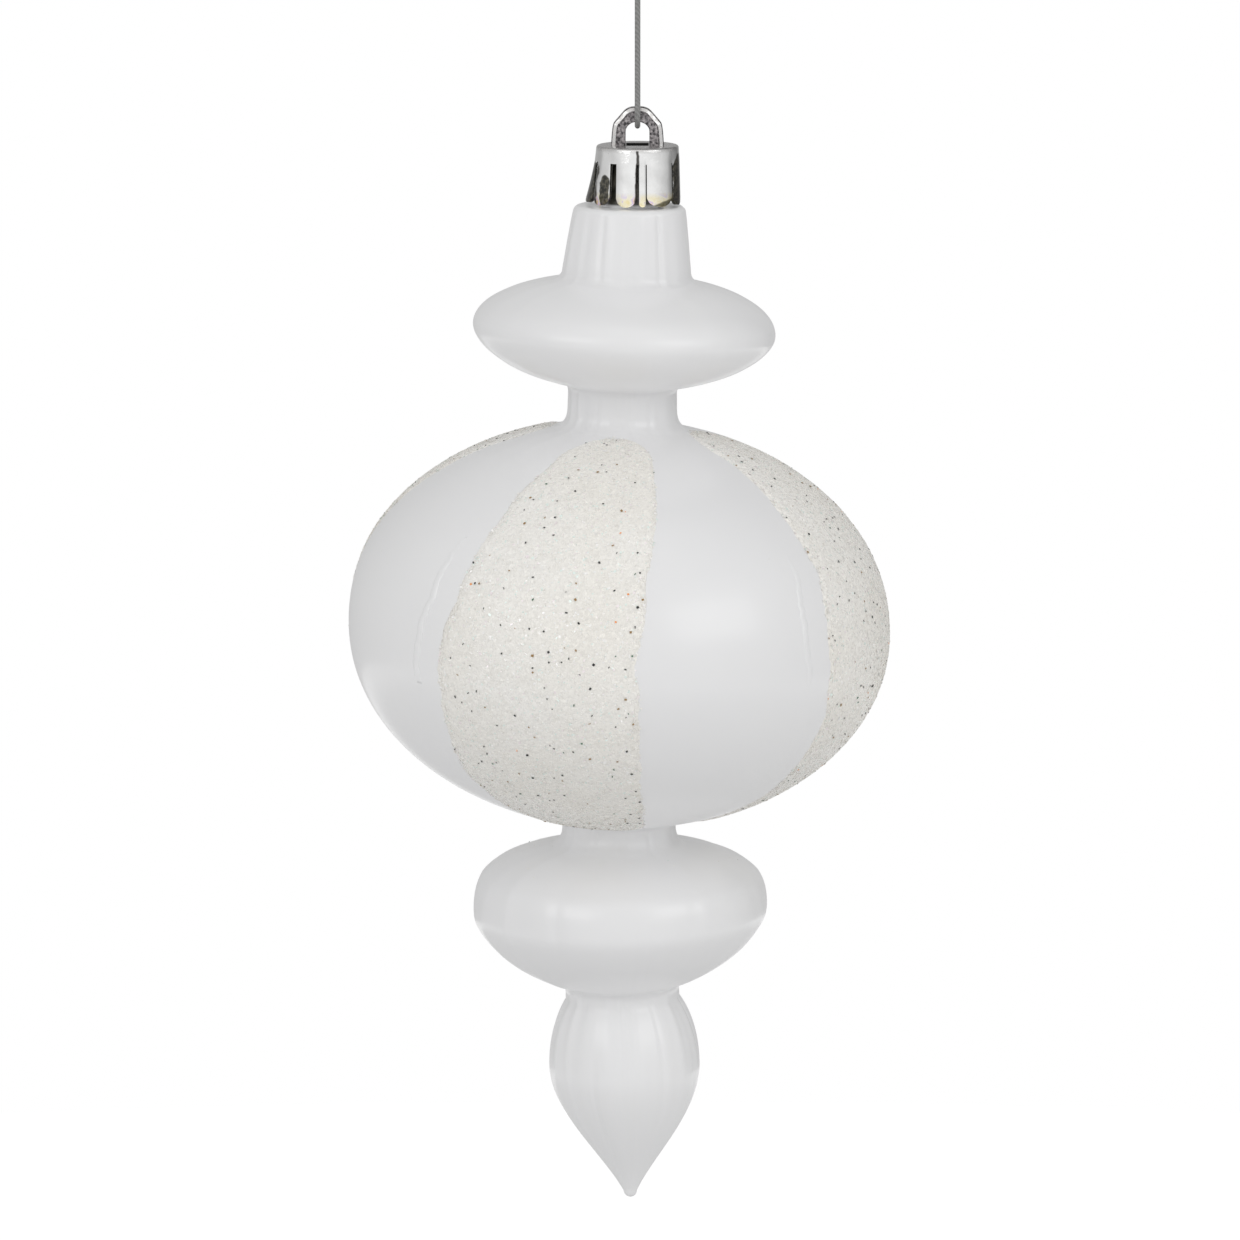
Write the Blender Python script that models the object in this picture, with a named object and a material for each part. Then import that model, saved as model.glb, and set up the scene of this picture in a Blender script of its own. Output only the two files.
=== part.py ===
"""Finial hanging ornament: a hollow blown shell with glitter panels, a petalled cap and its cord.

Metres, +Z up.  The origin is where a hook bears on the hanging loop, and the ornament hangs below
it.  -Y is the front.  Heights in the driving dimensions are measured from the cap's flat top, which
lies CAP_TOP_Z above the origin.
"""
import math

import bmesh
import bpy
from mathutils import Vector

MM = 0.001
FITTING_GAP = 0.3 * MM

# ---- Cord ----
CORD_DIAMETER = 0.8 * MM
LOOP_HEIGHT = 19.0 * MM
STRAND_RISE = 22.5 * MM
STRAND_HALF_SPREAD = 0.55 * MM
KNOT_RADIUS = 1.4 * MM

# ---- Cap: plate, skirt, petals and moulded ring ----
CAP_RADIUS = 5.86 * MM
CAP_WALL = 0.7 * MM
CAP_RIM_ROUND = 0.3 * MM
RIM_SHARE = 0.3
SKIRT_DEPTH = 2.2 * MM
SKIRT_FLARE = 0.12 * MM
PETAL_COUNT = 9
PETAL_ARC = math.radians(28)
FIRST_PETAL = math.radians(28)
PETAL_TIP_Z = -8.25 * MM
PETAL_LEAN = math.radians(1.5)
PETAL_SPLAY = math.radians(15.5)
PETAL_STATIONS = (0.35, 0.7, 1.0)
RING_BASE_HALF_WIDTH = 3.77 * MM
RING_SHOULDER_HALF_WIDTH = 3.48 * MM
RING_CROWN_HALF_WIDTH = 1.62 * MM
RING_SHOULDER_Z = 2.97 * MM
RING_CROWN_Z = 5.12 * MM
RING_TOP_Z = 5.47 * MM
RING_DEPTH = 2.0 * MM
RING_CHAMFER = 0.5 * MM
RING_ROOT_Z = -0.35 * MM
ARCH_HALF_WIDTH = 1.69 * MM
ARCH_SPRING_Z = 1.95 * MM
ARCH_LEG_Z = 1.45 * MM
ARCH_TOP_Z = 3.35 * MM
ARCH_ANGLES = (math.radians(10), math.radians(35), math.radians(58), math.radians(76))
SLOT_DEPTH = 1.8 * MM

# ---- Shell: radii, heights and how full each lobe is ----
SHELL_WALL = 0.9 * MM
LINING_SLACK = 0.4 * MM
SOLID_TIP_RADIUS = 3.0 * MM
SPIGOT_RADIUS = 4.1 * MM
SPIGOT_TOP_Z = -1.15 * MM
SHOULDER_Z = -8.59 * MM
SHOULDER_ROUND = 1.0 * MM
NECK_TOP_RADIUS = 8.02 * MM
NECK_BASE_RADIUS = 9.16 * MM
NECK_FILLET = (1.95 * MM, 1.8 * MM)
WAIST_RADIUS = 7.75 * MM
WAIST_TOP_FILLET = (1.0 * MM, 1.1 * MM)
WAIST_FILLET = (2.8 * MM, 3.0 * MM)
LOWER_NECK_RADIUS = 8.2 * MM
LOWER_NECK_TOP_FILLET = (0.8 * MM, 0.7 * MM)
LOWER_NECK_FILLET = (2.2 * MM, 3.0 * MM)
LOWER_WAIST_RADIUS = 8.15 * MM
LOWER_WAIST_TOP_FILLET = (1.0 * MM, 1.1 * MM)
DROP_RADIUS = 10.9 * MM
DROP_Z = -134.5 * MM
DROP_RISE = 15.3 * MM
DROP_POINT_Z = -156.5 * MM
DROP_SWELL = 1.84
DROP_TAPER = 1.72
TIP_RADIUS = 1.0 * MM
FILLET_PULL = 0.1

# ---- The axis bows to one side, and each lobe leans a little out of square with it ----
AXIS_TOP_X = -1.08 * MM
AXIS_BOW = 1.66 * MM
AXIS_MIDDLE_Z = -79.2 * MM
AXIS_HALF_LENGTH = 72.3 * MM
LEAN_STATIONS = (
    (SHOULDER_Z, math.radians(0.5)),
    (-26.4 * MM, math.radians(2.8)),
    (-36.0 * MM, math.radians(1.5)),
    (-69.5 * MM, math.radians(1.65)),
    (-98.0 * MM, math.radians(0.8)),
    (-111.4 * MM, math.radians(-1.5)),
    (DROP_Z, math.radians(-1.75)),
    (-154.0 * MM, math.radians(-0.3)),
)

# ---- Glitter panels: stripes from pole to pole of the body, azimuth from the front ----
# Each panel is (name, turn of its middle, turn of its corners), in degrees.  The corners are the upper
# left, upper right, lower left and lower right one, because every panel was brushed on by hand.
PANELS = (
    ("front", -18, (6, 5, -6, 2)),
    ("right", 72, (0, 0, 0, 0)),
    ("rear", 162, (0, 0, 0, 0)),
    ("left", 243, (0, 7, 0, 0)),
)
PANEL_HALF_ARC = math.radians(22)
PANEL_WIDENING = 0.12
PANEL_DRIFT = math.radians(8)
PANEL_END_SHARE = 0.35
PANEL_TURN_LATITUDE = math.radians(50)
PANEL_TOP = math.radians(75.5)
PANEL_BOTTOM = math.radians(-76)
PANEL_CORNER = math.radians(12)
PANEL_THICKNESS = 0.35 * MM

# ---- Facets ----
SHELL_SEGMENTS = 36
SHOULDER_STEPS = 3
LOBE_STEPS = 5
BODY_STEPS = 8
FILLET_STEPS = 3
DROP_STEPS = 8
PETAL_COLUMNS = 4
PANEL_COLUMNS = 6
PANEL_ROWS = 18
KNOT_SEGMENTS = 16
CURVE_STEPS = 20
CORD_SPACING = 1.76 * MM
MERGE_DISTANCE = 1e-7
SHARP_ANGLE = math.radians(35)

CAP_TOP_Z = -(LOOP_HEIGHT + STRAND_RISE + ARCH_TOP_Z)
BAR_CENTRE_Z = CAP_TOP_Z + 0.5 * (ARCH_TOP_Z + RING_TOP_Z)
KNOT_Z = -LOOP_HEIGHT


class Lobe:
    """One bulge of the shell: two half lenses that meet at its widest ring."""

    def __init__(self, radius, height, rise, drop, upper_fullness=1.0, lower_fullness=1.0):
        self.radius = radius
        self.height = height
        self.rise = rise
        self.drop = drop
        self.upper_fullness = upper_fullness
        self.lower_fullness = lower_fullness

    def point(self, angle):
        """(radius, height) at an angle above (+) or below (-) the widest ring."""
        if angle >= 0:
            lift = self.rise * math.sin(angle) ** self.upper_fullness
        else:
            lift = -self.drop * math.sin(-angle) ** self.lower_fullness
        return self.radius * math.cos(angle), self.height + lift

    def above(self, from_radius, steps):
        """Points from from_radius down to the widest ring."""
        start = math.acos(from_radius / self.radius)
        return [self.point(start * (1 - i / steps)) for i in range(steps + 1)]

    def below(self, to_radius, steps):
        """Points from just under the widest ring down to to_radius."""
        end = -math.acos(to_radius / self.radius)
        return [self.point(end * i / steps) for i in range(1, steps + 1)]


TOP_DISC = Lobe(21.7 * MM, -26.4 * MM, 7.9 * MM, 8.65 * MM, 0.97, 1.13)
BODY = Lobe(38.85 * MM, -69.5 * MM, 29.7 * MM, 28.7 * MM, 0.966, 0.988)
LOWER_DISC = Lobe(21.35 * MM, -111.4 * MM, 10.5 * MM, 12.0 * MM, 0.61, 1.35)


def axis_x(height):
    """Sideways place of the shell's bowed axis at a height."""
    along = (height - AXIS_MIDDLE_Z) / AXIS_HALF_LENGTH
    return AXIS_TOP_X - AXIS_BOW * (1 - along * along)


def lean_at(height):
    """Lean of a ring of the shell, interpolated between the stations."""
    if height >= LEAN_STATIONS[0][0]:
        return LEAN_STATIONS[0][1]
    for (upper, upper_lean), (lower, lower_lean) in zip(LEAN_STATIONS, LEAN_STATIONS[1:]):
        if height >= lower:
            share = (upper - height) / (upper - lower)
            return upper_lean + share * (lower_lean - upper_lean)
    return LEAN_STATIONS[-1][1]


def bent(point):
    """Move a point of the straight shell onto its bowed axis, under the cap."""
    lean = lean_at(point.z)
    return Vector((
        axis_x(point.z) + point.x * math.cos(lean),
        point.y,
        CAP_TOP_Z + point.z - point.x * math.sin(lean),
    ))


def fillet(start, corner, end, steps=FILLET_STEPS):
    """Points after start on the curve that leaves it towards corner and arrives at end."""
    points = []
    for i in range(1, steps + 1):
        t = i / steps
        points.append(tuple(
            (1 - t) ** 2 * a + 2 * t * (1 - t) * b + t * t * c
            for a, b, c in zip(start, corner, end)))
    return points


def filleted_lobe(neck_radius, size, lobe, next_radius, next_size, steps):
    """A neck's foot, its fillet onto a lobe, the lobe, and the fillet onto the next neck."""
    reach, height = size
    upper = lobe.above(neck_radius + reach, steps)
    foot = (neck_radius, upper[0][1] + height)
    points = [foot]
    points += fillet(foot, (neck_radius, upper[0][1] + FILLET_PULL * height), upper[0])
    points += upper[1:]
    reach, height = next_size
    points += lobe.below(next_radius + reach, steps)
    corner = lobe.below(next_radius, 1)[-1]
    points += fillet(points[-1], corner, (next_radius, corner[1] - height))
    return points


def shell_outline():
    """Outer (radius, height) points from the spigot's lip to the tip."""
    points = [(SPIGOT_RADIUS, SPIGOT_TOP_Z), (SPIGOT_RADIUS, SHOULDER_Z)]
    round_radius = NECK_TOP_RADIUS - SHOULDER_ROUND
    for i in range(SHOULDER_STEPS + 1):
        angle = 0.5 * math.pi * (1 - i / SHOULDER_STEPS)
        points.append((round_radius + SHOULDER_ROUND * math.cos(angle),
                       SHOULDER_Z - SHOULDER_ROUND * (1 - math.sin(angle))))
    points += filleted_lobe(NECK_BASE_RADIUS, NECK_FILLET, TOP_DISC,
                            WAIST_RADIUS, WAIST_TOP_FILLET, LOBE_STEPS)
    points += filleted_lobe(WAIST_RADIUS, WAIST_FILLET, BODY,
                            LOWER_NECK_RADIUS, LOWER_NECK_TOP_FILLET, BODY_STEPS)
    points += filleted_lobe(LOWER_NECK_RADIUS, LOWER_NECK_FILLET, LOWER_DISC,
                            LOWER_WAIST_RADIUS, LOWER_WAIST_TOP_FILLET, LOBE_STEPS)
    points += drop_outline()
    return points


def drop_radius(height):
    """Radius of the drop under its widest ring."""
    down = (DROP_Z - height) / (DROP_Z - DROP_POINT_Z)
    return DROP_RADIUS * (1 - down ** DROP_SWELL) ** DROP_TAPER


def drop_outline():
    """The last lobe: swells from the lower waist, then tapers to a rounded tip."""
    start = math.acos(LOWER_WAIST_RADIUS / DROP_RADIUS)
    points = []
    for i in range(FILLET_STEPS):
        angle = start * (1 - i / FILLET_STEPS)
        points.append((DROP_RADIUS * math.cos(angle), DROP_Z + DROP_RISE * math.sin(angle)))
    down = (1 - (TIP_RADIUS / DROP_RADIUS) ** (1 / DROP_TAPER)) ** (1 / DROP_SWELL)
    tip_centre = DROP_Z - down * (DROP_Z - DROP_POINT_Z)
    for i in range(DROP_STEPS + 1):
        height = DROP_Z + (tip_centre - DROP_Z) * i / DROP_STEPS
        points.append((drop_radius(height), height))
    for angle in (math.radians(45), math.radians(90)):
        points.append((TIP_RADIUS * math.cos(angle), tip_centre - TIP_RADIUS * math.sin(angle)))
    return points


def thinned(points, slack):
    """The points without those that lie within slack of a straight run past them."""
    kept = [points[0]]
    first = 0
    for i in range(2, len(points)):
        run = points[i] - points[first]
        skipped = points[first + 1:i]
        if any(abs(run.cross(p - points[first])) > slack * run.length for p in skipped):
            kept.append(points[i - 1])
            first = i - 1
    kept.append(points[-1])
    return kept


def shell_lining(outline):
    """Inner points from the tip back up to the spigot's lip, one wall inside the outline."""
    lining = []
    for before, here, after in zip(outline, outline[1:], outline[2:]):
        along = Vector(after) - Vector(before)
        inward = Vector((along.y, -along.x)).normalized()
        place = Vector(here) + inward * SHELL_WALL
        if here[0] > SOLID_TIP_RADIUS and place.y < SHOULDER_Z - SHOULDER_ROUND:
            lining.append(place)
    chamber = thinned(lining, LINING_SLACK)
    pole = (0.0, chamber[-1].y - chamber[-1].x)
    chamber_top = (NECK_TOP_RADIUS - SHELL_WALL, SHOULDER_Z - SHELL_WALL)
    bore = SPIGOT_RADIUS - SHELL_WALL
    bore_foot = (bore, SHOULDER_Z - SHELL_WALL)
    upward = [tuple(place) for place in reversed(chamber)]
    return [pole] + upward + [chamber_top, bore_foot, (bore, SPIGOT_TOP_Z)]


def make_material(name, colour, roughness, metallic=0.0):
    """A plain Principled finish."""
    material = bpy.data.materials.new(name)
    material.use_nodes = True
    shader = material.node_tree.nodes["Principled BSDF"]
    shader.inputs["Base Color"].default_value = (*colour, 1.0)
    shader.inputs["Roughness"].default_value = roughness
    shader.inputs["Metallic"].default_value = metallic
    return material


def add_mesh_object(name, mesh_data, material):
    """Link a bmesh to the scene as a named object with its material."""
    mesh = bpy.data.meshes.new(name)
    mesh_data.to_mesh(mesh)
    mesh_data.free()
    mesh.materials.append(material)
    obj = bpy.data.objects.new(name, mesh)
    bpy.context.scene.collection.objects.link(obj)
    return obj


def set_joint_origin(obj, place):
    """Put an object's origin on its joint, leaving its mesh where it is."""
    for vertex in obj.data.vertices:
        vertex.co -= place
    obj.location = place


def make_shell(material):
    """Turn the wall's section once round, then set it on the bowed axis."""
    outline = shell_outline()
    section = outline + shell_lining(outline)
    mesh = bmesh.new()
    vertices = [mesh.verts.new((radius, 0.0, height)) for radius, height in section]
    edges = [mesh.edges.new((a, b)) for a, b in zip(vertices, vertices[1:] + vertices[:1])
             if a.co.x > 0 or b.co.x > 0]
    bmesh.ops.spin(mesh, geom=vertices + edges, axis=(0, 0, 1), cent=(0, 0, 0),
                   angle=2 * math.pi, steps=SHELL_SEGMENTS, use_merge=True)
    bmesh.ops.remove_doubles(mesh, verts=mesh.verts, dist=MERGE_DISTANCE)
    bmesh.ops.recalc_face_normals(mesh, faces=mesh.faces)
    for vertex in mesh.verts:
        vertex.co = bent(vertex.co)
    shell = add_mesh_object("shell", mesh, material)
    shell.data.shade_smooth()
    shell.data.set_sharp_from_angle(angle=SHARP_ANGLE)
    set_joint_origin(shell, Vector((0.0, 0.0, CAP_TOP_Z)))
    return shell


def panel_edges(centre, corners, latitude):
    """Azimuths of a panel's two edges: wider towards the necks, rounded at both ends."""
    reach = abs(latitude / PANEL_TOP) ** 3
    half = PANEL_HALF_ARC * (1 + PANEL_WIDENING * reach)
    past = max(latitude - (PANEL_TOP - PANEL_CORNER), (PANEL_BOTTOM + PANEL_CORNER) - latitude)
    if past > 0:
        half *= max(PANEL_END_SHARE, math.sqrt(max(0.0, 1 - (past / PANEL_CORNER) ** 2)))
    middle = centre + PANEL_DRIFT * reach
    left_turn, right_turn = corners[:2] if latitude > 0 else corners[2:]
    share = min(1.0, abs(latitude) / PANEL_TURN_LATITUDE)
    return middle - half + share * left_turn, middle + half + share * right_turn


def panel_point(latitude, azimuth, lift):
    """A place above the body's surface, off it by lift along its normal."""
    radius, height = BODY.point(latitude)
    depth = BODY.rise if latitude >= 0 else BODY.drop
    normal = Vector((depth * math.cos(latitude), BODY.radius * math.sin(latitude))).normalized()
    radius += lift * normal.x
    height += lift * normal.y
    return bent(Vector((radius * math.sin(azimuth), -radius * math.cos(azimuth), height)))


def make_panel(name, centre, corners, material):
    """One glitter panel: a thin skin over a stripe of the body."""
    mesh = bmesh.new()
    rows = []
    for i in range(PANEL_ROWS + 1):
        latitude = PANEL_BOTTOM + (PANEL_TOP - PANEL_BOTTOM) * i / PANEL_ROWS
        left, right = panel_edges(centre, corners, latitude)
        row = []
        for j in range(PANEL_COLUMNS + 1):
            azimuth = left + (right - left) * j / PANEL_COLUMNS
            row.append(mesh.verts.new(panel_point(latitude, azimuth, FITTING_GAP)))
        rows.append(row)
    for lower, upper in zip(rows, rows[1:]):
        for j in range(PANEL_COLUMNS):
            mesh.faces.new((lower[j], lower[j + 1], upper[j + 1], upper[j]))
    panel = add_mesh_object(name, mesh, material)
    skin = panel.modifiers.new("thickness", "SOLIDIFY")
    skin.thickness = PANEL_THICKNESS
    skin.offset = 1.0
    return panel


def petal_lean(azimuth):
    """Outward lean of a petal: the off-centre neck splays those on the -X side."""
    towards_left = max(0.0, math.cos(azimuth + math.pi / 2))
    return PETAL_LEAN + PETAL_SPLAY * towards_left ** 4


def cap_columns():
    """(azimuth, across, petal's centre) for each column round the skirt; across is -1..1."""
    columns = []
    for petal in range(PETAL_COUNT):
        centre = FIRST_PETAL + 2 * math.pi * petal / PETAL_COUNT
        for j in range(PETAL_COLUMNS + 1):
            across = 2 * j / PETAL_COLUMNS - 1
            columns.append((centre + 0.5 * PETAL_ARC * across, across, centre))
    return columns


def cap_point(radius, azimuth, height):
    """A place round the cap's axis, its height taken from the flat top."""
    return Vector((radius * math.sin(azimuth), -radius * math.cos(azimuth), CAP_TOP_Z + height))


def make_cap_sheet():
    """The outer surface of the cap's plate, skirt and petals, as an open sheet facing out."""
    mesh = bmesh.new()
    columns = cap_columns()
    count = len(columns)
    skirt_radius = CAP_RADIUS + SKIRT_FLARE
    rim = ((CAP_RADIUS - CAP_RIM_ROUND, 0.0),
           (CAP_RADIUS - RIM_SHARE * CAP_RIM_ROUND, -RIM_SHARE * CAP_RIM_ROUND),
           (CAP_RADIUS, -CAP_RIM_ROUND),
           (skirt_radius, -SKIRT_DEPTH))
    middle = mesh.verts.new((0.0, 0.0, CAP_TOP_Z))
    rings = []
    for radius, height in rim:
        rings.append([mesh.verts.new(cap_point(radius, azimuth, height))
                      for azimuth, _, _ in columns])
    for j in range(count):
        k = (j + 1) % count
        mesh.faces.new((middle, rings[0][j], rings[0][k]))
        for upper, lower in zip(rings, rings[1:]):
            mesh.faces.new((upper[j], lower[j], lower[k], upper[k]))

    tip_round = 0.5 * PETAL_ARC * skirt_radius
    previous = rings[-1]
    for share in PETAL_STATIONS:
        row = []
        for azimuth, across, centre in columns:
            end = PETAL_TIP_Z + tip_round * (1 - math.sqrt(1 - across * across))
            height = -SKIRT_DEPTH + (end + SKIRT_DEPTH) * share
            radius = skirt_radius - (height + SKIRT_DEPTH) * math.tan(petal_lean(centre))
            row.append(mesh.verts.new(cap_point(radius, azimuth, height)))
        for j in range(count - 1):
            if (j + 1) % (PETAL_COLUMNS + 1):
                mesh.faces.new((previous[j], row[j], row[j + 1], previous[j + 1]))
        previous = row
    return mesh


def ring_stations():
    """Pairs of (x, z) on the ring's outside and on its arch, from the left root to the right."""
    half_shoulder = 0.5 * (RING_SHOULDER_HALF_WIDTH + RING_CROWN_HALF_WIDTH)
    middle_z = 0.5 * (RING_SHOULDER_Z + RING_CROWN_Z)
    outside = (
        (RING_BASE_HALF_WIDTH, RING_ROOT_Z),
        (0.5 * (RING_BASE_HALF_WIDTH + RING_SHOULDER_HALF_WIDTH), 0.5 * RING_SHOULDER_Z),
        (RING_SHOULDER_HALF_WIDTH, RING_SHOULDER_Z),
        (half_shoulder, middle_z),
        (RING_CROWN_HALF_WIDTH, RING_CROWN_Z),
        (0.5 * RING_CROWN_HALF_WIDTH, RING_TOP_Z),
    )
    arch = [(ARCH_HALF_WIDTH, RING_ROOT_Z), (ARCH_HALF_WIDTH, ARCH_LEG_Z)]
    for angle in ARCH_ANGLES:
        arch.append((ARCH_HALF_WIDTH * math.cos(angle),
                     ARCH_SPRING_Z + (ARCH_TOP_Z - ARCH_SPRING_Z) * math.sin(angle)))
    right = list(zip(outside, arch))
    crown = [((0.0, RING_TOP_Z), (0.0, ARCH_TOP_Z))]
    left = [((-a[0], a[1]), (-b[0], b[1])) for a, b in right]
    return left + crown + right[::-1]


def make_ring_mesh():
    """The moulded ring: a chamfered bar carried round its house-shaped arch."""
    half_depth = 0.5 * RING_DEPTH
    mesh = bmesh.new()
    loops = []
    for outer, inner in ring_stations():
        outer_point = Vector((outer[0], 0.0, CAP_TOP_Z + outer[1]))
        inner_point = Vector((inner[0], 0.0, CAP_TOP_Z + inner[1]))
        across = (outer_point - inner_point).normalized()
        chamfer = across * RING_CHAMFER
        side = Vector((0.0, half_depth, 0.0))
        edge = Vector((0.0, half_depth - RING_CHAMFER, 0.0))
        section = (outer_point - edge, outer_point + edge, outer_point - chamfer + side,
                   inner_point + chamfer + side, inner_point + edge, inner_point - edge,
                   inner_point + chamfer - side, outer_point - chamfer - side)
        loops.append([mesh.verts.new(place) for place in section])
    for first, second in zip(loops, loops[1:]):
        for j in range(len(first)):
            following = (j + 1) % len(first)
            mesh.faces.new((first[j], first[following], second[following], second[j]))
    mesh.faces.new(loops[0][::-1])
    mesh.faces.new(loops[-1])
    bmesh.ops.recalc_face_normals(mesh, faces=mesh.faces)
    return mesh


def make_guide(name, mesh, material):
    """An object that only shapes another one."""
    guide = add_mesh_object(name, mesh, material)
    guide.hide_render = True
    guide.display_type = "WIRE"
    return guide


def make_cap(material):
    """Plate, skirt and petals thickened inwards, joined to the ring, with a slot under the arch."""
    cap = add_mesh_object("cap", make_cap_sheet(), material)
    wall = cap.modifiers.new("wall", "SOLIDIFY")
    wall.thickness = CAP_WALL
    wall.offset = -1.0
    wall.use_even_offset = True
    ring = cap.modifiers.new("ring", "BOOLEAN")
    ring.operation = "UNION"
    ring.object = make_guide("ring_guide", make_ring_mesh(), material)
    slot_size = (2 * ARCH_HALF_WIDTH - FITTING_GAP, SLOT_DEPTH, 4 * CAP_WALL)
    slot_mesh = bmesh.new()
    bmesh.ops.create_cube(slot_mesh, size=1.0)
    bmesh.ops.scale(slot_mesh, vec=slot_size, verts=slot_mesh.verts)
    bmesh.ops.translate(slot_mesh, vec=(0.0, 0.0, CAP_TOP_Z), verts=slot_mesh.verts)
    slot = cap.modifiers.new("slot", "BOOLEAN")
    slot.operation = "DIFFERENCE"
    slot.object = make_guide("slot_guide", slot_mesh, material)
    cap.data.shade_smooth()
    cap.data.set_sharp_from_angle(angle=SHARP_ANGLE)
    return cap


def smooth_route(points, spacing):
    """Points every spacing along one smooth curve through the route's own points."""
    places = [Vector(p) for p in points]
    ends = [places[0] * 2 - places[1]] + places + [places[-1] * 2 - places[-2]]
    dense = []
    for i in range(1, len(ends) - 2):
        for step in range(CURVE_STEPS):
            t = step / CURVE_STEPS
            before, start, end, after = ends[i - 1:i + 3]
            dense.append(0.5 * (2 * start + (end - before) * t
                                + (2 * before - 5 * start + 4 * end - after) * t * t
                                + (3 * start - before - 3 * end + after) * t ** 3))
    dense.append(places[-1])
    route = [dense[0]]
    for place in dense[1:-1]:
        if (place - route[-1]).length >= spacing:
            route.append(place)
    if (dense[-1] - route[-1]).length < 0.5 * spacing:
        route.pop()
    route.append(dense[-1])
    return route


def make_cord(name, points, origin, material):
    """A round cord along a route, with closed ends and its own origin."""
    curve = bpy.data.curves.new(name, "CURVE")
    curve.dimensions = "3D"
    curve.bevel_depth = 0.5 * CORD_DIAMETER
    curve.bevel_resolution = 2
    curve.use_fill_caps = True
    route = smooth_route(points, CORD_SPACING)
    spline = curve.splines.new("POLY")
    spline.points.add(len(route) - 1)
    for point, place in zip(spline.points, route):
        point.co = (*(place - origin), 1.0)
    curve.materials.append(material)
    cord = bpy.data.objects.new(name, curve)
    cord.location = origin
    bpy.context.scene.collection.objects.link(cord)
    return cord


def strand_route():
    """Down the front of the ring's bar, under it and up behind it, knot to knot."""
    top = KNOT_Z - KNOT_RADIUS - FITTING_GAP
    front = [
        (0.0, -STRAND_HALF_SPREAD, top),
        (0.0, -STRAND_HALF_SPREAD, top - 3.0 * MM),
        (0.0, -0.75 * MM, BAR_CENTRE_Z + 10.0 * MM),
        (0.0, -1.15 * MM, BAR_CENTRE_Z + 5.0 * MM),
        (0.0, -1.65 * MM, BAR_CENTRE_Z + 1.8 * MM),
        (0.0, -1.80 * MM, BAR_CENTRE_Z + 0.2 * MM),
        (0.0, -1.35 * MM, BAR_CENTRE_Z - 1.25 * MM),
    ]
    turn = [(0.0, 0.0, BAR_CENTRE_Z - 1.85 * MM)]
    back = [(x, -y, z) for x, y, z in front[::-1]]
    return front + turn + back


def loop_route():
    """Up one side of the hanging loop, over the hook and down the other side."""
    left = [
        (-STRAND_HALF_SPREAD, 0.0, KNOT_Z + KNOT_RADIUS + FITTING_GAP),
        (-1.1 * MM, 0.0, KNOT_Z + 4.2 * MM),
        (-2.5 * MM, 0.0, KNOT_Z + 8.5 * MM),
        (-3.7 * MM, 0.0, KNOT_Z + 13.0 * MM),
        (-3.6 * MM, 0.0, KNOT_Z + 16.4 * MM),
        (-2.1 * MM, 0.0, KNOT_Z + 18.7 * MM),
    ]
    top = [(0.0, 0.0, 0.5 * CORD_DIAMETER)]
    right = [(-x, y, z) for x, y, z in left[::-1]]
    return left + top + right


def make_knot(material):
    """The knot that ties the two strands, as a plain round bead."""
    mesh = bmesh.new()
    bmesh.ops.create_uvsphere(mesh, u_segments=KNOT_SEGMENTS, v_segments=KNOT_SEGMENTS // 2,
                              radius=KNOT_RADIUS)
    knot = add_mesh_object("cord_knot", mesh, material)
    knot.data.shade_smooth()
    knot.location = (0.0, 0.0, KNOT_Z)
    return knot


def build():
    """Clear the scene and model every sub-part."""
    for obj in list(bpy.data.objects):
        bpy.data.objects.remove(obj, do_unlink=True)
    pearl = make_material("pearl_plastic", (0.69, 0.69, 0.70), 0.34)
    glitter = make_material("glitter", (0.78, 0.77, 0.73), 0.55)
    chrome = make_material("chrome_cap", (0.72, 0.72, 0.70), 0.16, metallic=1.0)
    grey_cord = make_material("grey_cord", (0.36, 0.36, 0.35), 0.6)

    make_shell(pearl)
    for side, turn, corner_turns in PANELS:
        corners = [math.radians(angle) for angle in corner_turns]
        make_panel("glitter_panel_" + side, math.radians(turn), corners, glitter)
    cap = make_cap(chrome)
    set_joint_origin(cap, Vector((0.0, 0.0, BAR_CENTRE_Z)))
    make_cord("cord_strands", strand_route(), Vector((0.0, 0.0, KNOT_Z)), grey_cord)
    make_knot(grey_cord)
    make_cord("hanging_loop", loop_route(), Vector((0.0, 0.0, 0.0)), grey_cord)


build()
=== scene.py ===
"""The looks of the finial ornament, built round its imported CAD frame.  Metres, +Z up, -Y the front."""
import math
from functools import partial

import bmesh
import bpy
import numpy as np
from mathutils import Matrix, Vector, noise


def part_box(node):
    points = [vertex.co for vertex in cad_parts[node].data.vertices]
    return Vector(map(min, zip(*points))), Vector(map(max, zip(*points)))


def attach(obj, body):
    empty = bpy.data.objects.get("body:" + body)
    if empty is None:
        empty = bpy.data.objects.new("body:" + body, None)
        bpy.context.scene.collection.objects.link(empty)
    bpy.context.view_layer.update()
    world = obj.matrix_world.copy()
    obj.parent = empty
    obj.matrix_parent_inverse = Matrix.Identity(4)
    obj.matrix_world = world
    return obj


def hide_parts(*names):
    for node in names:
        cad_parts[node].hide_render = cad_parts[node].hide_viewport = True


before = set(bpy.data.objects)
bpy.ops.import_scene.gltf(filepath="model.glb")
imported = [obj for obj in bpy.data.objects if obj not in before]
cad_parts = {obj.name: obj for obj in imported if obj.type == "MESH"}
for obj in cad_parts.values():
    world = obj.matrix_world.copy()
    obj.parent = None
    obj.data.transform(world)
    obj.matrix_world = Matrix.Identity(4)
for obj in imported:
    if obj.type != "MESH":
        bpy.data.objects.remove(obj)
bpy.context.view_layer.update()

MM = 0.001

# ---- Seeds of the random draws; each panel adds its own turn to PANEL_SEED ----
WRINKLE_SEED = 22
PANEL_SEED = 110
STRAY_SEED = 220
PETAL_SEED = 320

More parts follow.
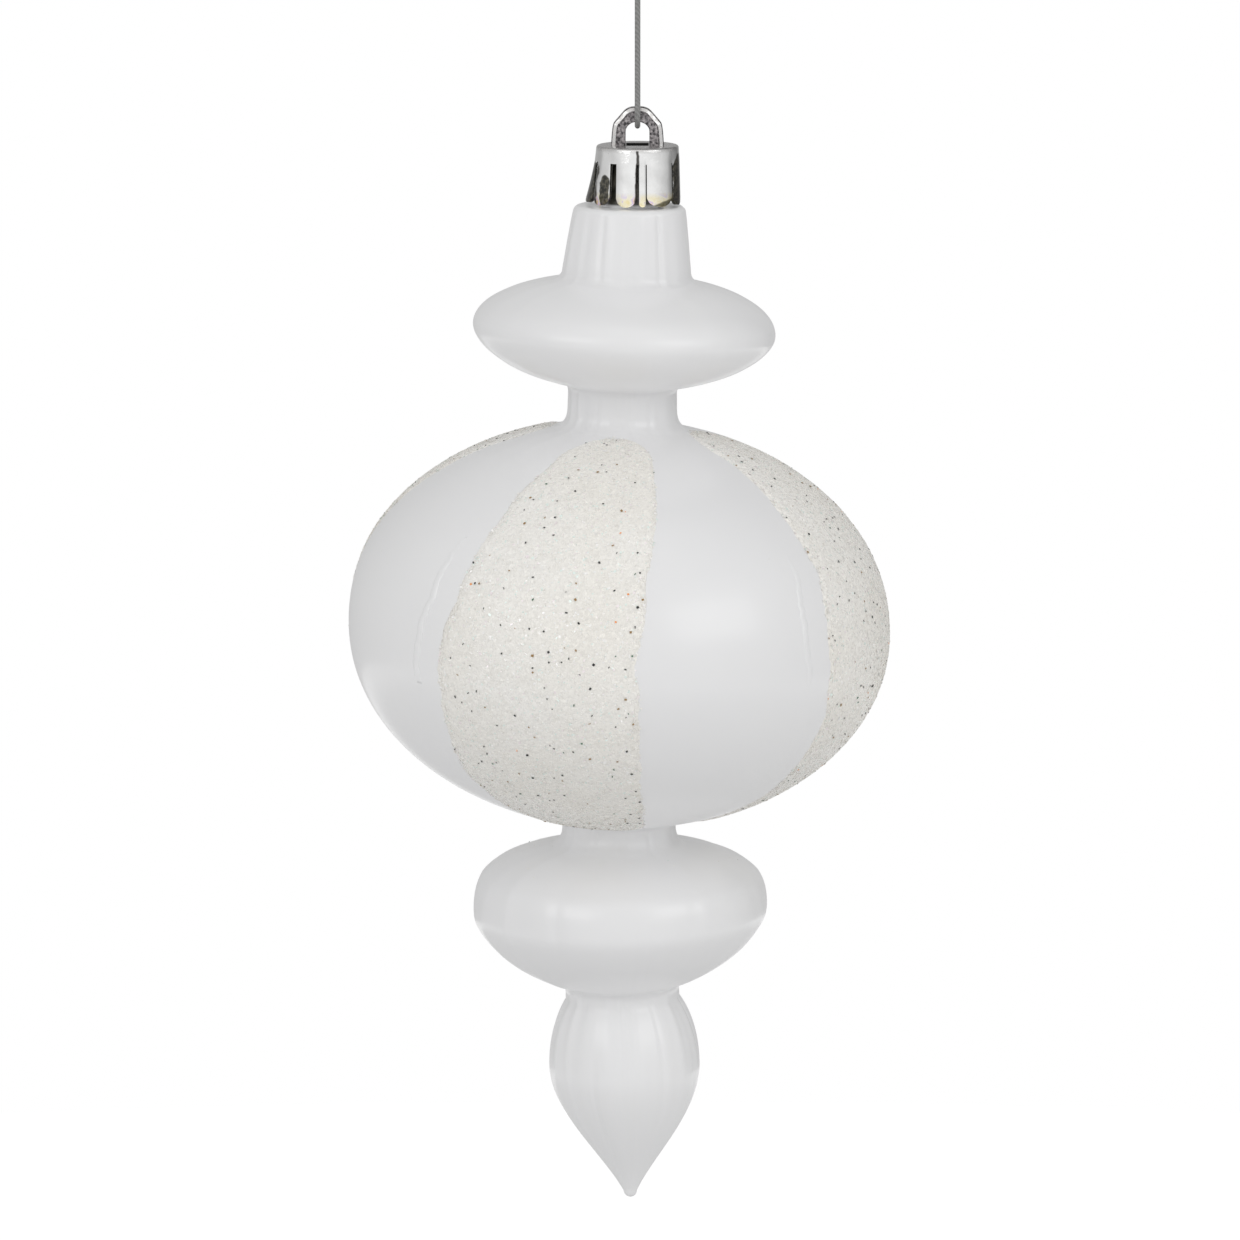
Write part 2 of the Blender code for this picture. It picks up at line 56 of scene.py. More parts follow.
# ---- Places that the frame gives ----
CAP_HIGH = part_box("cap")[1]
KNOT_LOW, KNOT_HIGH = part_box("cord_knot")
RING_TOP = 5.47 * MM
CAP_TOP_Z = CAP_HIGH.z - RING_TOP
KNOT_Z = 0.5 * (KNOT_LOW.z + KNOT_HIGH.z)
ARCH_TOP = 3.35 * MM
BAR_CENTRE_Z = CAP_TOP_Z + 0.5 * (ARCH_TOP + RING_TOP)

# ---- Stage ----
FLOOR_RADIUS = 1.7
FLOOR_Z = -0.62
SOFTBOX_DISTANCE = 2.0
# Each softbox is (name, azimuth, elevation, (width, height), power, whether gloss shows it).
SOFTBOXES = (
    ("key_right", 44, 24, (1.3, 0.8), 4.0, True),
    ("key_left", -40, 22, (1.3, 0.8), 3.6, True),
    ("fill_right", 50, 26, (1.8, 1.2), 6.6, False),
    ("fill_left", -46, 26, (1.8, 1.2), 5.6, False),
)
# What gloss sees round the room: (share of the way round from straight behind, grey).
GLOSS_BANDS = (
    (0.00, 0.50), (0.10, 0.45), (0.16, 0.50), (0.20, 0.68), (0.30, 0.74), (0.40, 1.00), (0.60, 1.00),
    (0.70, 0.74), (0.76, 0.60), (0.80, 0.34), (0.90, 0.20), (0.95, 0.45),
)

# ---- Cord ----
CORD_DIAMETER = 0.8 * MM
STRAND_HALF_SPREAD = 0.55 * MM
KNOT_RADIUS = 1.4 * MM
KNOT_COIL_RADIUS = 0.86 * MM
KNOT_TAIL = 2.6 * MM
FITTING_GAP = 0.3 * MM
CORD_SPACING = 0.55 * MM

# ---- Shell: the same outline as the CAD shell, with finer steps ----
SHELL_WALL = 0.9 * MM
SPIGOT_RADIUS = 4.1 * MM
SPIGOT_TOP_Z = -1.15 * MM
SHOULDER_Z = -8.59 * MM
SHOULDER_ROUND = 1.0 * MM
NECK_TOP_RADIUS = 8.02 * MM
NECK_BASE_RADIUS = 9.16 * MM
NECK_FILLET = (1.95 * MM, 1.8 * MM)
WAIST_TOP_FILLET = (1.0 * MM, 1.1 * MM)
WAIST_RADIUS = 7.75 * MM
WAIST_FILLET = (2.8 * MM, 3.0 * MM)
LOWER_NECK_RADIUS = 8.2 * MM
LOWER_NECK_TOP_FILLET = (0.8 * MM, 0.7 * MM)
LOWER_NECK_FILLET = (2.2 * MM, 3.0 * MM)
LOWER_WAIST_RADIUS = 8.15 * MM
LOWER_WAIST_TOP_FILLET = (1.0 * MM, 1.1 * MM)
DROP_RADIUS = 10.9 * MM
DROP_Z = -134.5 * MM
DROP_RISE = 15.3 * MM
DROP_POINT_Z = -156.5 * MM
DROP_SWELL = 1.84
DROP_TAPER = 1.72
TIP_RADIUS = 1.0 * MM
FILLET_PULL = 0.1
AXIS_TOP_X = -1.08 * MM
AXIS_BOW = 1.66 * MM
AXIS_MIDDLE_Z = -79.2 * MM
AXIS_HALF_LENGTH = 72.3 * MM
# How far the shell's rings lean: (height, degrees).
LEANS = (
    (-154.0 * MM, -0.3), (DROP_Z, -1.75), (-111.4 * MM, -1.5), (-98.0 * MM, 0.8),
    (-69.5 * MM, 1.65), (-36.0 * MM, 1.5), (-26.4 * MM, 2.8), (SHOULDER_Z, 0.5),
)
SHELL_SEGMENTS = 216
BODY_Z = -69.5 * MM
BODY_RADIUS = 38.85 * MM
BODY_RISE = 29.7 * MM
BODY_DROP = 28.7 * MM
DISC_EASE = 5 * MM

# Wrinkles left by the blowing, strong where the shell is narrow: (height, depth), in millimetres.
WRINKLE_COUNT = 26
WRINKLES = (
    (-153.0, 0.03), (-147.0, 0.10), (-134.0, 0.26), (-126.0, 0.38), (-122.0, 0.24), (-111.0, 0.20),
    (-103.0, 0.22), (-99.0, 0.14), (-90.0, 0.0), (-48.0, 0.0), (-41.0, 0.14), (-38.0, 0.32),
    (-34.0, 0.17), (-26.0, 0.06), (-20.0, 0.27), (-14.0, 0.32), (-10.0, 0.22), (SHOULDER_Z / MM, 0.0),
)
SEAM_AZIMUTH = math.radians(8)
SEAM_HEIGHT = 0.05 * MM
SEAM_WIDTH = math.radians(0.9)

# ---- Glitter panels ----
# Each panel is (name, turn of its middle, turn of its corners), in degrees; the corners are the upper
# left, upper right, lower left and lower right one, because every panel was brushed on by hand.
PANELS = (
    ("front", -18, (6, 5, -6, 2)),
    ("right", 72, (0, 0, 0, 0)),
    ("rear", 162, (0, 0, 0, 0)),
    ("left", 243, (0, 7, 0, 0)),
)
PANEL_TURN_LATITUDE = math.radians(50)
PANEL_HALF_ARC = math.radians(22)
PANEL_WIDENING = 0.12
PANEL_DRIFT = math.radians(8)
PANEL_TOP = math.radians(75.5)
PANEL_BOTTOM = math.radians(-76)
PANEL_CORNER = math.radians(12)
PANEL_END_SHARE = 0.35
PANEL_ROWS = 150
PANEL_COLUMNS = 56
BED_SUNK = -0.06 * MM
BED_THICKNESS = 0.26 * MM
BED_GRAIN = 0.03
BED_UNDERSIDE = -0.15 * MM
GLUE_UNDERSIDE = -0.2 * MM
FLAKE_COUNT = 13000
FLAKE_DEPTH = 0.11 * MM
FLAKE_TILT = math.radians(11)
FLAKE_LIFT = (0.20, 0.25)
COLOURED_LIFT = 0.28
FLAKE_SIZE = 0.105
FLAKE_SIZE_SPREAD = 0.35
FLAKE_SIZE_LIMITS = (0.05, 0.24)
COLOURED_SIZE = (0.11, 0.19)
FLAKE_EDGE_EASE = 1.2 * MM
STRAY_COUNT = 26
# Each kind of flake is (name, colour, roughness, metallic, coat, share of all flakes).
FLAKES = (
    ("flake_clear", (0.89, 0.87, 0.825), 0.3, 0.0, 0.4, 0.56),
    ("flake_white", (0.95, 0.94, 0.92), 0.14, 0.1, 0.4, 0.26),
    ("flake_mint", (0.84, 0.94, 0.89), 0.14, 0.1, 0.4, 0.10),
    ("flake_rose", (0.94, 0.87, 0.88), 0.16, 0.1, 0.4, 0.0675),
    ("flake_dark", (0.015, 0.015, 0.015), 0.6, 0.0, 0.0, 0.0075),
    ("flake_amber", (0.30, 0.18, 0.06), 0.5, 0.0, 0.0, 0.0032),
    ("flake_orange", (0.88, 0.33, 0.08), 0.3, 0.0, 0.0, 0.0006),
    ("flake_green", (0.08, 0.17, 0.11), 0.5, 0.0, 0.0, 0.0012),
)
FIRST_COLOURED_KIND = 4

# ---- Cap ----
CAP_RADIUS = 5.86 * MM
CAP_WALL = 0.6 * MM
RIM_ROUND = 0.35 * MM
SKIRT_DEPTH = 2.2 * MM
SKIRT_FLARE = 0.12 * MM
# Each petal is (azimuth of its middle, arc) in degrees; the narrow one is a strip left by the mould.
PETALS = (
    (-93, 28), (-54.5, 29), (-16, 28), (6.5, 9), (33, 41), (70, 28), (108, 28), (148, 28), (188, 28),
    (228, 28),
)
PETAL_TIP_Z = -8.25 * MM
PETAL_LEAN = math.radians(1.5)
PETAL_SPLAY = math.radians(15.5)
PETAL_TWIST = 0.25
PETAL_CROWN = 0.1 * MM
MOST_ROUND = math.radians(30)
PETAL_COLUMNS = 12
SLOT_FRONT = -1.2 * MM
SLOT_BACK = 2.9 * MM
SLOT_WIDTH = 3.2 * MM
SLOT_HEIGHT = 2.8 * MM
# The ring's section, in millimetres: (distance in from its edge, distance from its middle).
RING_SECTION = (
    (0.0, 0.52), (0.13, 0.74), (0.34, 0.82), (0.58, 0.91), (0.63, 0.80), (0.72, 0.80), (0.77, 0.90),
)


# ==== Node helpers ====
def new_node(tree, kind, **settings):
    """A shader node with its settings."""
    node = tree.nodes.new("ShaderNode" + kind)
    for name, value in settings.items():
        setattr(node, name, value)
    return node


def feed(socket, value):
    """Give an input another node's socket, a colour or a number."""
    if isinstance(value, bpy.types.NodeSocket):
        socket.id_data.links.new(value, socket)
    elif isinstance(value, tuple):
        socket.default_value = (*value, 1.0)
    else:
        socket.default_value = value


def tree_of(*values):
    """The node tree of the first value that is a socket."""
    return next(value.id_data for value in values if isinstance(value, bpy.types.NodeSocket))


def place_node(material):
    """Places on the object, in metres."""
    return new_node(material.node_tree, "TexCoord").outputs["Object"]


def axes_of(value):
    """A vector's parts, by the names X, Y and Z."""
    node = new_node(value.id_data, "SeparateXYZ")
    feed(node.inputs[0], value)
    return node.outputs


def noise_node(place, size, detail=3.0):
    """Noise whose features are about size across."""
    node = new_node(place.id_data, "TexNoise")
    feed(node.inputs["Scale"], 0.5 / size)
    feed(node.inputs["Detail"], detail)
    feed(node.inputs["Vector"], place)
    return node.outputs["Fac"]


def cell_node(place, size):
    """Cells about size across."""
    node = new_node(place.id_data, "TexVoronoi")
    feed(node.inputs["Scale"], 1.0 / size)
    feed(node.inputs["Vector"], place)
    return node.outputs


def ramp_node(value, *stops):
    """A colour ramp over value; stops are (place, colour or grey)."""
    node = new_node(value.id_data, "ValToRGB")
    feed(node.inputs["Fac"], value)
    elements = node.color_ramp.elements
    while len(elements) < len(stops):
        elements.new(0.5)
    for element, (place, colour) in zip(elements, stops):
        element.position = place
        shade = colour if isinstance(colour, tuple) else (colour, colour, colour)
        element.color = (*shade, 1.0)
    return node.outputs["Color"]


def map_node(value, from_range, to_range):
    """value carried from one range to another, and held inside it."""
    node = new_node(value.id_data, "MapRange")
    feed(node.inputs["Value"], value)
    for name, number in zip(("From Min", "From Max", "To Min", "To Max"), (*from_range, *to_range)):
        feed(node.inputs[name], number)
    return node.outputs["Result"]


def band(place, start, end, first, last):
    """first up to start and last from end, in millimetres, with an even change between."""
    return map_node(place, (start * MM, end * MM), (first, last))


def mix_node(factor, first, second, blend="MIX"):
    """Two colours mixed; each value is a socket, a colour or a number."""
    node = new_node(tree_of(factor, first, second), "Mix", data_type="RGBA", blend_type=blend)
    for socket, value in ((node.inputs[0], factor), (node.inputs[6], first), (node.inputs[7], second)):
        feed(socket, value)
    return node.outputs[2]


def math_node(operation, *values):
    """One sum; each value is a socket or a number."""
    node = new_node(tree_of(*values), "Math", operation=operation)
    for socket, value in zip(node.inputs, values):
        feed(socket, value)
    return node.outputs[0]


plus = partial(math_node, "ADD")
minus = partial(math_node, "SUBTRACT")
times = partial(math_node, "MULTIPLY")
larger = partial(math_node, "MAXIMUM")


def bump_node(height, distance, under=None):
    """A bump from height, on top of another one."""
    node = new_node(height.id_data, "Bump")
    feed(node.inputs["Distance"], distance)
    feed(node.inputs["Height"], height)
    if under is not None:
        feed(node.inputs["Normal"], under)
    return node.outputs["Normal"]


# ==== Camera, lights and stage ====
def make_camera():
    """The camera at the photograph's height, distance and framing."""
    pitch = math.radians(10.16)
    distance = 945.0 * MM
    aim = Vector((-2.49 * MM, 0.0, CAP_TOP_Z - 68.63 * MM))
    data = bpy.data.cameras.new("camera")
    data.lens = 190.5
    data.sensor_width = 36.0
    data.clip_start = 0.05
    data.clip_end = 40.0
    camera = add_object("camera", data)
    camera.location = aim + Vector((0.0, -distance * math.cos(pitch), distance * math.sin(pitch)))
    camera.rotation_euler = (math.pi / 2 - pitch, 0.0, 0.0)
    bpy.context.scene.camera = camera


def make_softbox(name, azimuth, elevation, size, power, mirrored):
    """A soft area light that faces the body; mirrored says whether gloss shows it."""
    data = bpy.data.lights.new(name, "AREA")
    data.shape = "RECTANGLE"
    data.size, data.size_y = size
    data.energy = power
    light = add_object(name, data)
    turn, lift = math.radians(azimuth), math.radians(elevation)
    away = Vector((math.sin(turn) * math.cos(lift), -math.cos(turn) * math.cos(lift), math.sin(lift)))
    centre = Vector((0.0, 0.0, CAP_TOP_Z + BODY_Z))
    light.location = centre + away * SOFTBOX_DISTANCE
    light.rotation_euler = away.to_track_quat("Z", "Y").to_euler()
    light.visible_camera = False
    light.visible_glossy = mirrored


def make_world():
    """White behind the object; darker at both sides for what it lights, as round a studio table."""
    world = bpy.data.worlds.new("studio")
    world.use_nodes = True
    bpy.context.scene.world = world
    tree = world.node_tree
    way = axes_of(new_node(tree, "TexCoord").outputs["Generated"])
    azimuth = math_node("ARCTAN2", way["X"], times(way["Y"], -1.0))
    bands = ramp_node(map_node(azimuth, (-math.pi, math.pi), (0.0, 1.0)), *GLOSS_BANDS)
    seen = new_node(tree, "LightPath").outputs
    sky = map_node(way["Z"], (0.0, 0.8), (0.44, 0.66))
    soft = mix_node(seen["Is Glossy Ray"], sky, bands)
    shown = mix_node(seen["Is Camera Ray"], soft, (1.0, 1.0, 1.0))
    background = tree.nodes["Background"].inputs
    feed(background["Color"], shown)
    feed(background["Strength"], 1.0)


def make_floor():
    """A wide pale floor, well under the ornament, that whitens into the backdrop at its edge."""
    mesh = bmesh.new()
    bmesh.ops.create_circle(mesh, cap_ends=True, segments=96, radius=FLOOR_RADIUS)
    bmesh.ops.translate(mesh, vec=(0.0, 0.0, FLOOR_Z), verts=mesh.verts)
    material, shader = new_material("floor_paint", (0.9, 0.9, 0.9), 0.6)
    middle = new_node(material.node_tree, "VectorMath", operation="LENGTH")
    feed(middle.inputs[0], place_node(material))
    away = middle.outputs["Value"]
    feed(shader["Emission Color"], (1.0, 1.0, 1.0))
    feed(shader["Emission Strength"], map_node(away, (1.2, 1.5), (0.0, 0.45)))
    feed(shader["Base Color"], map_node(away, (0.2, 1.6), (0.60, 0.90)))
    add_mesh("floor", mesh, material)


# ==== Materials ====
def new_material(name, colour, roughness, metallic=0.0):
    """A Principled material and its shader's inputs."""
    material = bpy.data.materials.new(name)
    material.use_nodes = True
    shader = material.node_tree.nodes["Principled BSDF"].inputs
    feed(shader["Base Color"], colour)
    feed(shader["Roughness"], roughness)
    feed(shader["Metallic"], metallic)
    return material, shader


def pearl_material():
    """Pearl-white blown plastic: faint clouds under a soft gloss, a faint painted glow for light through
    the plastic, and painted shade in dark olive on the spigot inside the cap.
    """
    material, shader = new_material("pearl_plastic", (0.69, 0.69, 0.70), 0.34)
    place = place_node(material)
    clouds = noise_node(place, 16 * MM, 2.0)
    base = ramp_node(clouds, (0.3, (0.70, 0.70, 0.707)), (0.7, (0.72, 0.72, 0.723)))
    # Painted shade: the spigot above the shoulder sits inside the cap, and is painted dark olive there.
    over_shoulder = minus(axes_of(place)["Z"], CAP_TOP_Z + SHOULDER_Z)
    spigot_shade = band(over_shoulder, 0.2, 0.5, 0.0, 1.0)
    specks = noise_node(place, 1.0 * MM)
    olive = ramp_node(specks, (0.4, (0.03, 0.03, 0.022)), (0.65, (0.17, 0.16, 0.13)))
    feed(shader["Base Color"], mix_node(spigot_shade, base, olive))
    feed(shader["Roughness"], map_node(clouds, (0.3, 0.7), (0.285, 0.335)))
    feed(shader["Coat Weight"], 0.35)
    feed(shader["Coat Roughness"], 0.12)
    # Painted light: a faint white glow on all of the shell but the spigot, standing in for light that
    # comes through the plastic into its shaded necks and undersides.
    feed(shader["Emission Color"], mix_node(spigot_shade, (1.0, 1.0, 1.0), (0.0, 0.0, 0.0)))
    feed(shader["Emission Strength"], 0.1)
    return material


def glitter_base_material():
    """The glued bed under the flakes: cream and grainy, with a roughness of its own in each grain."""
    material, shader = new_material("glitter_bed", (0.83, 0.81, 0.775), 0.5)
    place = place_node(material)
    grains = cell_node(place, 0.34 * MM)
    shade = axes_of(grains["Color"])
    clouds = noise_node(place, 7 * MM, 2.0)
    base = ramp_node(clouds, (0.3, (0.87, 0.845, 0.79)), (0.7, (0.90, 0.885, 0.85)))
    grain = ramp_node(shade["X"], (0.0, 0.93), (0.5, 1.0), (0.9, 1.02), (1.0, 1.1))
    feed(shader["Base Color"], mix_node(1.0, base, grain, "MULTIPLY"))
    feed(shader["Roughness"], map_node(shade["Y"], (0.0, 1.0), (0.18, 0.7)))
    rough = bump_node(shade["Z"], 0.01 * MM)
    feed(shader["Normal"], bump_node(grains["Distance"], -0.02 * MM, rough))
    return material


def flake_materials():
    """The kinds of flake: each is one plain film, so that its colour stays sharp at its small size."""
    made = []
    for name, colour, roughness, metallic, coat, _ in FLAKES:
        material, shader = new_material(name, colour, roughness, metallic)
        feed(shader["Coat Weight"], coat)
        feed(shader["Coat Roughness"], 0.08)
        made.append(material)
    return made


def chrome_material():
    """Metallised plastic: bright skirt, worn mottled top and rim, tinted petal tips, and painted dark
    reflections and shade on some petals.
    """
    material, shader = new_material("chrome_cap", (0.78, 0.78, 0.77), 0.12, 1.0)
    place = place_node(material)
    axes = axes_of(place)
    height = minus(axes["Z"], CAP_TOP_Z)
    grain = noise_node(place, 0.22 * MM, 4.0)
    blotch = noise_node(place, 1.1 * MM)
    worn = times(band(height, -0.75, -0.1, 0.0, 1.0), map_node(grain, (0.38, 0.62), (0.35, 1.0)))
    plain = ramp_node(blotch, (0.3, (0.74, 0.74, 0.735)), (0.7, (0.86, 0.86, 0.855)))
    mottled = ramp_node(
        grain, (0.36, (0.10, 0.10, 0.10)), (0.5, (0.42, 0.41, 0.40)), (0.66, (0.62, 0.60, 0.59)))
    tint = ramp_node(
        noise_node(place, 0.9 * MM, 4.0), (0.38, (0.84, 0.74, 0.44)), (0.48, (0.87, 0.82, 0.64)),
        (0.545, (0.64, 0.53, 0.76)), (0.60, (0.78, 0.58, 0.36)), (0.68, (0.30, 0.27, 0.20)))
    tinted = mix_node(band(height, -6.2, -7.4, 0.0, 1.0), mix_node(worn, plain, mottled), tint)
    # Painted reflection and shade: dark olive where the petals would mirror dark surroundings, and on
    # one shaded tip.
    dark_reflection_colour = ramp_node(grain, (0.42, (0.02, 0.02, 0.015)), (0.62, (0.13, 0.12, 0.09)))
    with_dark_reflections = mix_node(painted_dark_reflection(axes, height, blotch), tinted, dark_reflection_colour)
    pits = map_node(cell_node(place, 0.9 * MM)["Distance"], (0.04, 0.07), (0.8, 0.0))
    pitted = mix_node(pits, with_dark_reflections, (0.12, 0.11, 0.10))
    feed(shader["Base Color"], mix_node(mould_seam(axes, height, blotch), pitted, (0.05, 0.045, 0.04)))
    feed(shader["Roughness"], plus(map_node(grain, (0.3, 0.7), (0.05, 0.16)), times(worn, 0.3)))
    feed(shader["Normal"], bump_node(grain, 0.012 * MM, bump_node(blotch, 0.03 * MM)))
    return material


def mould_seam(axes, height, blotch):
    """Where the dark line runs down the front: it drifts, and wanders with blotch."""
    wander = times(minus(blotch, 0.5), 0.7 * MM)
    drift = minus(times(height, -0.05), 0.1 * MM)
    off_line = math_node("ABSOLUTE", plus(plus(axes["X"], wander), drift))
    line = times(band(off_line, 0.14, 0.26, 1.0, 0.0), band(axes["Y"], -5.4, -5.0, 0.95, 0.0))
    return times(line, band(height, -0.35, -0.25, 1.0, 0.0))


def painted_dark_reflection(axes, height, blotch):
    """Painted dark reflections on the outer petals' sides and on an oval on one petal, and painted shade
    on one petal's tip.
    """
    ragged = times(minus(blotch, 0.5), 1.2 * MM)
    across = plus(axes["X"], ragged)
    edge = band(height, -2.6, -1.2, 4.75 * MM, 5.5 * MM)
    right = times(band(minus(across, edge), 0.0, 0.15, 0.0, 0.95), band(height, -1.2, -0.9, 1.0, 0.0))
    left = times(band(across, -5.75, -5.6, 0.95, 0.0), band(height, -2.5, -2.2, 1.0, 0.0))
    wide = math_node("ABSOLUTE", math_node("DIVIDE", plus(across, 4.7 * MM), 0.68 * MM))
    tall = math_node("ABSOLUTE", math_node("DIVIDE", plus(height, 6.1 * MM), 2.3 * MM))
    reach = plus(math_node("POWER", wide, 2.0), math_node("POWER", tall, 4.0))
    oval = map_node(reach, (0.8, 1.1), (0.95, 0.0))
    tip_edge = band(across, 1.6, 4.4, -8.2 * MM, -7.3 * MM)
    below = minus(plus(height, times(ragged, 0.8)), tip_edge)
    tip = times(band(below, -0.1, 0.1, 0.85, 0.0), band(across, 1.5, 1.9, 0.0, 1.0))
    front = times(larger(oval, tip), band(axes["Y"], -1.2, -1.0, 1.0, 0.0))
    return larger(larger(right, left), front)


def mottled_material():
    """The ring's flat inner faces: dull grey metal with a pinkish grain."""
    material, shader = new_material("chrome_mottled", (0.36, 0.35, 0.34), 0.35, 1.0)
    grain = noise_node(place_node(material), 0.2 * MM, 5.0)
    feed(shader["Base Color"], ramp_node(
        grain, (0.36, (0.05, 0.048, 0.05)), (0.52, (0.24, 0.225, 0.23)), (0.68, (0.46, 0.43, 0.43))))
    feed(shader["Roughness"], map_node(grain, (0.3, 0.7), (0.22, 0.5)))
    feed(shader["Normal"], bump_node(grain, 0.05 * MM))
    return material


def inside_shade_material():
    """Painted shade for the inside of the cap and the walls of its slot: a dark olive grey, near black
    in places.
    """
    material, shader = new_material("painted_shade_inside_cap", (0.09, 0.088, 0.07), 0.4, 0.2)
    cloud = noise_node(place_node(material), 1.2 * MM)
    feed(shader["Base Color"], ramp_node(
        cloud, (0.45, (0.008, 0.008, 0.007)), (0.75, (0.12, 0.11, 0.09))))
    feed(shader["Roughness"], map_node(cloud, (0.3, 0.7), (0.2, 0.45)))
    feed(shader["Normal"], bump_node(cloud, 0.03 * MM))
    return material


def cord_material():
    """Smooth grey thread: fine fibres laid at a slant, a little paler where they bulge."""
    material, shader = new_material("grey_cord", (0.36, 0.36, 0.355), 0.55)
    place = place_node(material)
    wave = new_node(material.node_tree, "TexWave", bands_direction="DIAGONAL")
    feed(wave.inputs["Scale"], 900.0)
    feed(wave.inputs["Distortion"], 1.5)
    feed(wave.inputs["Detail"], 2.0)
    feed(wave.inputs["Vector"], place)
    fibres = wave.outputs["Fac"]
    feed(shader["Base Color"], ramp_node(
        fibres, (0.0, (0.185, 0.185, 0.18)), (1.0, (0.265, 0.265, 0.26))))
    feed(shader["Roughness"], map_node(noise_node(place, 0.3 * MM), (0.3, 0.7), (0.45, 0.7)))
    feed(shader["Normal"], bump_node(fibres, 0.02 * MM))
    feed(shader["Sheen Weight"], 0.2)
    return material


# ==== Mesh helpers ====
def add_object(name, data, *materials):
    """Mesh, curve, light or camera data as a named object of the scene, with its materials."""
    for material in materials:
        data.materials.append(material)
    obj = bpy.data.objects.new(name, data)
    bpy.context.scene.collection.objects.link(obj)
    return obj


def add_mesh(name, mesh_data, *materials):
    """An object from a bmesh."""
    mesh = bpy.data.meshes.new(name)
    mesh_data.to_mesh(mesh)
    mesh_data.free()
    return add_object(name, mesh, *materials)


def add_arrays(name, vertices, faces, *materials):
    """An object from arrays of points and faces."""
    mesh = bpy.data.meshes.new(name)
    mesh.from_pydata([tuple(v) for v in vertices], [], faces)
    mesh.update()
    return add_object(name, mesh, *materials)


def shaped_mesh(obj):
    """The mesh that an object's curve or modifiers make."""
    return bpy.data.meshes.new_from_object(obj.evaluated_get(bpy.context.evaluated_depsgraph_get()))


def smooth(obj, sharp_degrees=None):
    """The object shaded smooth, apart from edges that turn by more than sharp_degrees."""
    obj.data.shade_smooth()
    if sharp_degrees is not None:
        obj.data.set_sharp_from_angle(angle=math.radians(sharp_degrees))
    return obj


def settle(obj, body, slot, *nodes):
    """Ride a piece on its body and put it in place of CAD nodes; the slot is not used."""
    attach(obj, body)
    if nodes:
        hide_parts(*nodes)
    return obj


def grid_faces(rows, columns, closed):
    """Quads over a grid of points stored row after row; closed joins the last column to the first."""
    faces = []
    for i in range(rows - 1):
        for j in range(columns if closed else columns - 1):
            k = (j + 1) % columns
            here, below = i * columns, (i + 1) * columns
            faces.append((here + j, here + k, below + k, below + j))
    return faces


def make_sheet(name, top, bottom, material):
    """A thin closed slab between two grids of points."""
    rows, columns = top.shape[:2]
    size = rows * columns
    faces = grid_faces(rows, columns, False)
    under = [tuple(size + i for i in f[::-1]) for f in faces]
    rim = list(range(columns))
    rim += [i * columns + columns - 1 for i in range(1, rows)]
    rim += [(rows - 1) * columns + j for j in range(columns - 2, -1, -1)]
    rim += [i * columns for i in range(rows - 2, 0, -1)]
    sides = [(b, a, size + a, size + b) for a, b in zip(rim, rim[1:] + rim[:1])]
    vertices = np.concatenate((top.reshape(-1, 3), bottom.reshape(-1, 3)))
    return smooth(add_arrays(name, vertices, faces + under + sides, material))


def refined(points, steps):
    """A smooth curve through points, with steps between each pair."""
    ends = [points[0] * 2 - points[1]] + points + [points[-1] * 2 - points[-2]]
    dense = []
    for i in range(1, len(ends) - 2):
        before, start, end, after = ends[i - 1:i + 3]
        for step in range(steps):
            t = step / steps
            dense.append(0.5 * (2 * start + (end - before) * t
                                + (2 * before - 5 * start + 4 * end - after) * t * t
                                + (3 * start - before - 3 * end + after) * t ** 3))
    dense.append(points[-1])
    return dense


# ==== Cord ====
def smooth_route(points, spacing):
    """Points every spacing along one smooth curve through the route's own points."""
    dense = refined([Vector(p) for p in points], 20)
    route = [dense[0]]
    for place in dense[1:-1]:
        if (place - route[-1]).length >= spacing:
            route.append(place)
    if (dense[-1] - route[-1]).length < 0.5 * spacing:
        route.pop()
    route.append(dense[-1])
    return route


def make_cord(name, points, material, spacing=CORD_SPACING):
    """A round cord along a route, with closed ends, and its length."""
    curve = bpy.data.curves.new(name, "CURVE")
    curve.dimensions = "3D"
    curve.bevel_depth = 0.5 * CORD_DIAMETER
    curve.bevel_resolution = 5
    curve.use_fill_caps = True
    route = smooth_route(points, spacing)
    spline = curve.splines.new("POLY")
    spline.points.add(len(route) - 1)
    for point, place in zip(spline.points, route):
        point.co = (*place, 1.0)
    length = sum((b - a).length for a, b in zip(route, route[1:]))
    return add_object(name, curve, material), length


def strand_route():
    """Down the front of the ring's bar, under it and up behind it, knot to knot."""
    top = KNOT_Z - KNOT_RADIUS - FITTING_GAP
    front = [(0.0, -STRAND_HALF_SPREAD, top), (0.0, -STRAND_HALF_SPREAD, top - 3.0 * MM)]
    for y, height in ((-0.75, 10.0), (-1.15, 5.0), (-1.65, 1.8), (-1.80, 0.2), (-1.35, -1.15)):
        front.append((0.0, y * MM, BAR_CENTRE_Z + height * MM))
    turn = [(0.0, 0.0, BAR_CENTRE_Z - 1.72 * MM)]
    back = [(x, -y, z) for x, y, z in front[::-1]]
    return front + turn + back


def loop_route():
    """Up one side of the hanging loop, over the hook and down the other side."""
    left = [(-STRAND_HALF_SPREAD, 0.0, KNOT_Z + KNOT_RADIUS + FITTING_GAP)]
    for x, height in ((-1.1, 4.2), (-2.5, 8.5), (-3.7, 13.0), (-3.6, 16.4), (-2.1, 18.7)):
        left.append((x * MM, 0.0, KNOT_Z + height * MM))
    top = [(0.0, 0.0, 0.5 * CORD_DIAMETER)]
    right = [(-x, y, z) for x, y, z in left[::-1]]
    return left + top + right


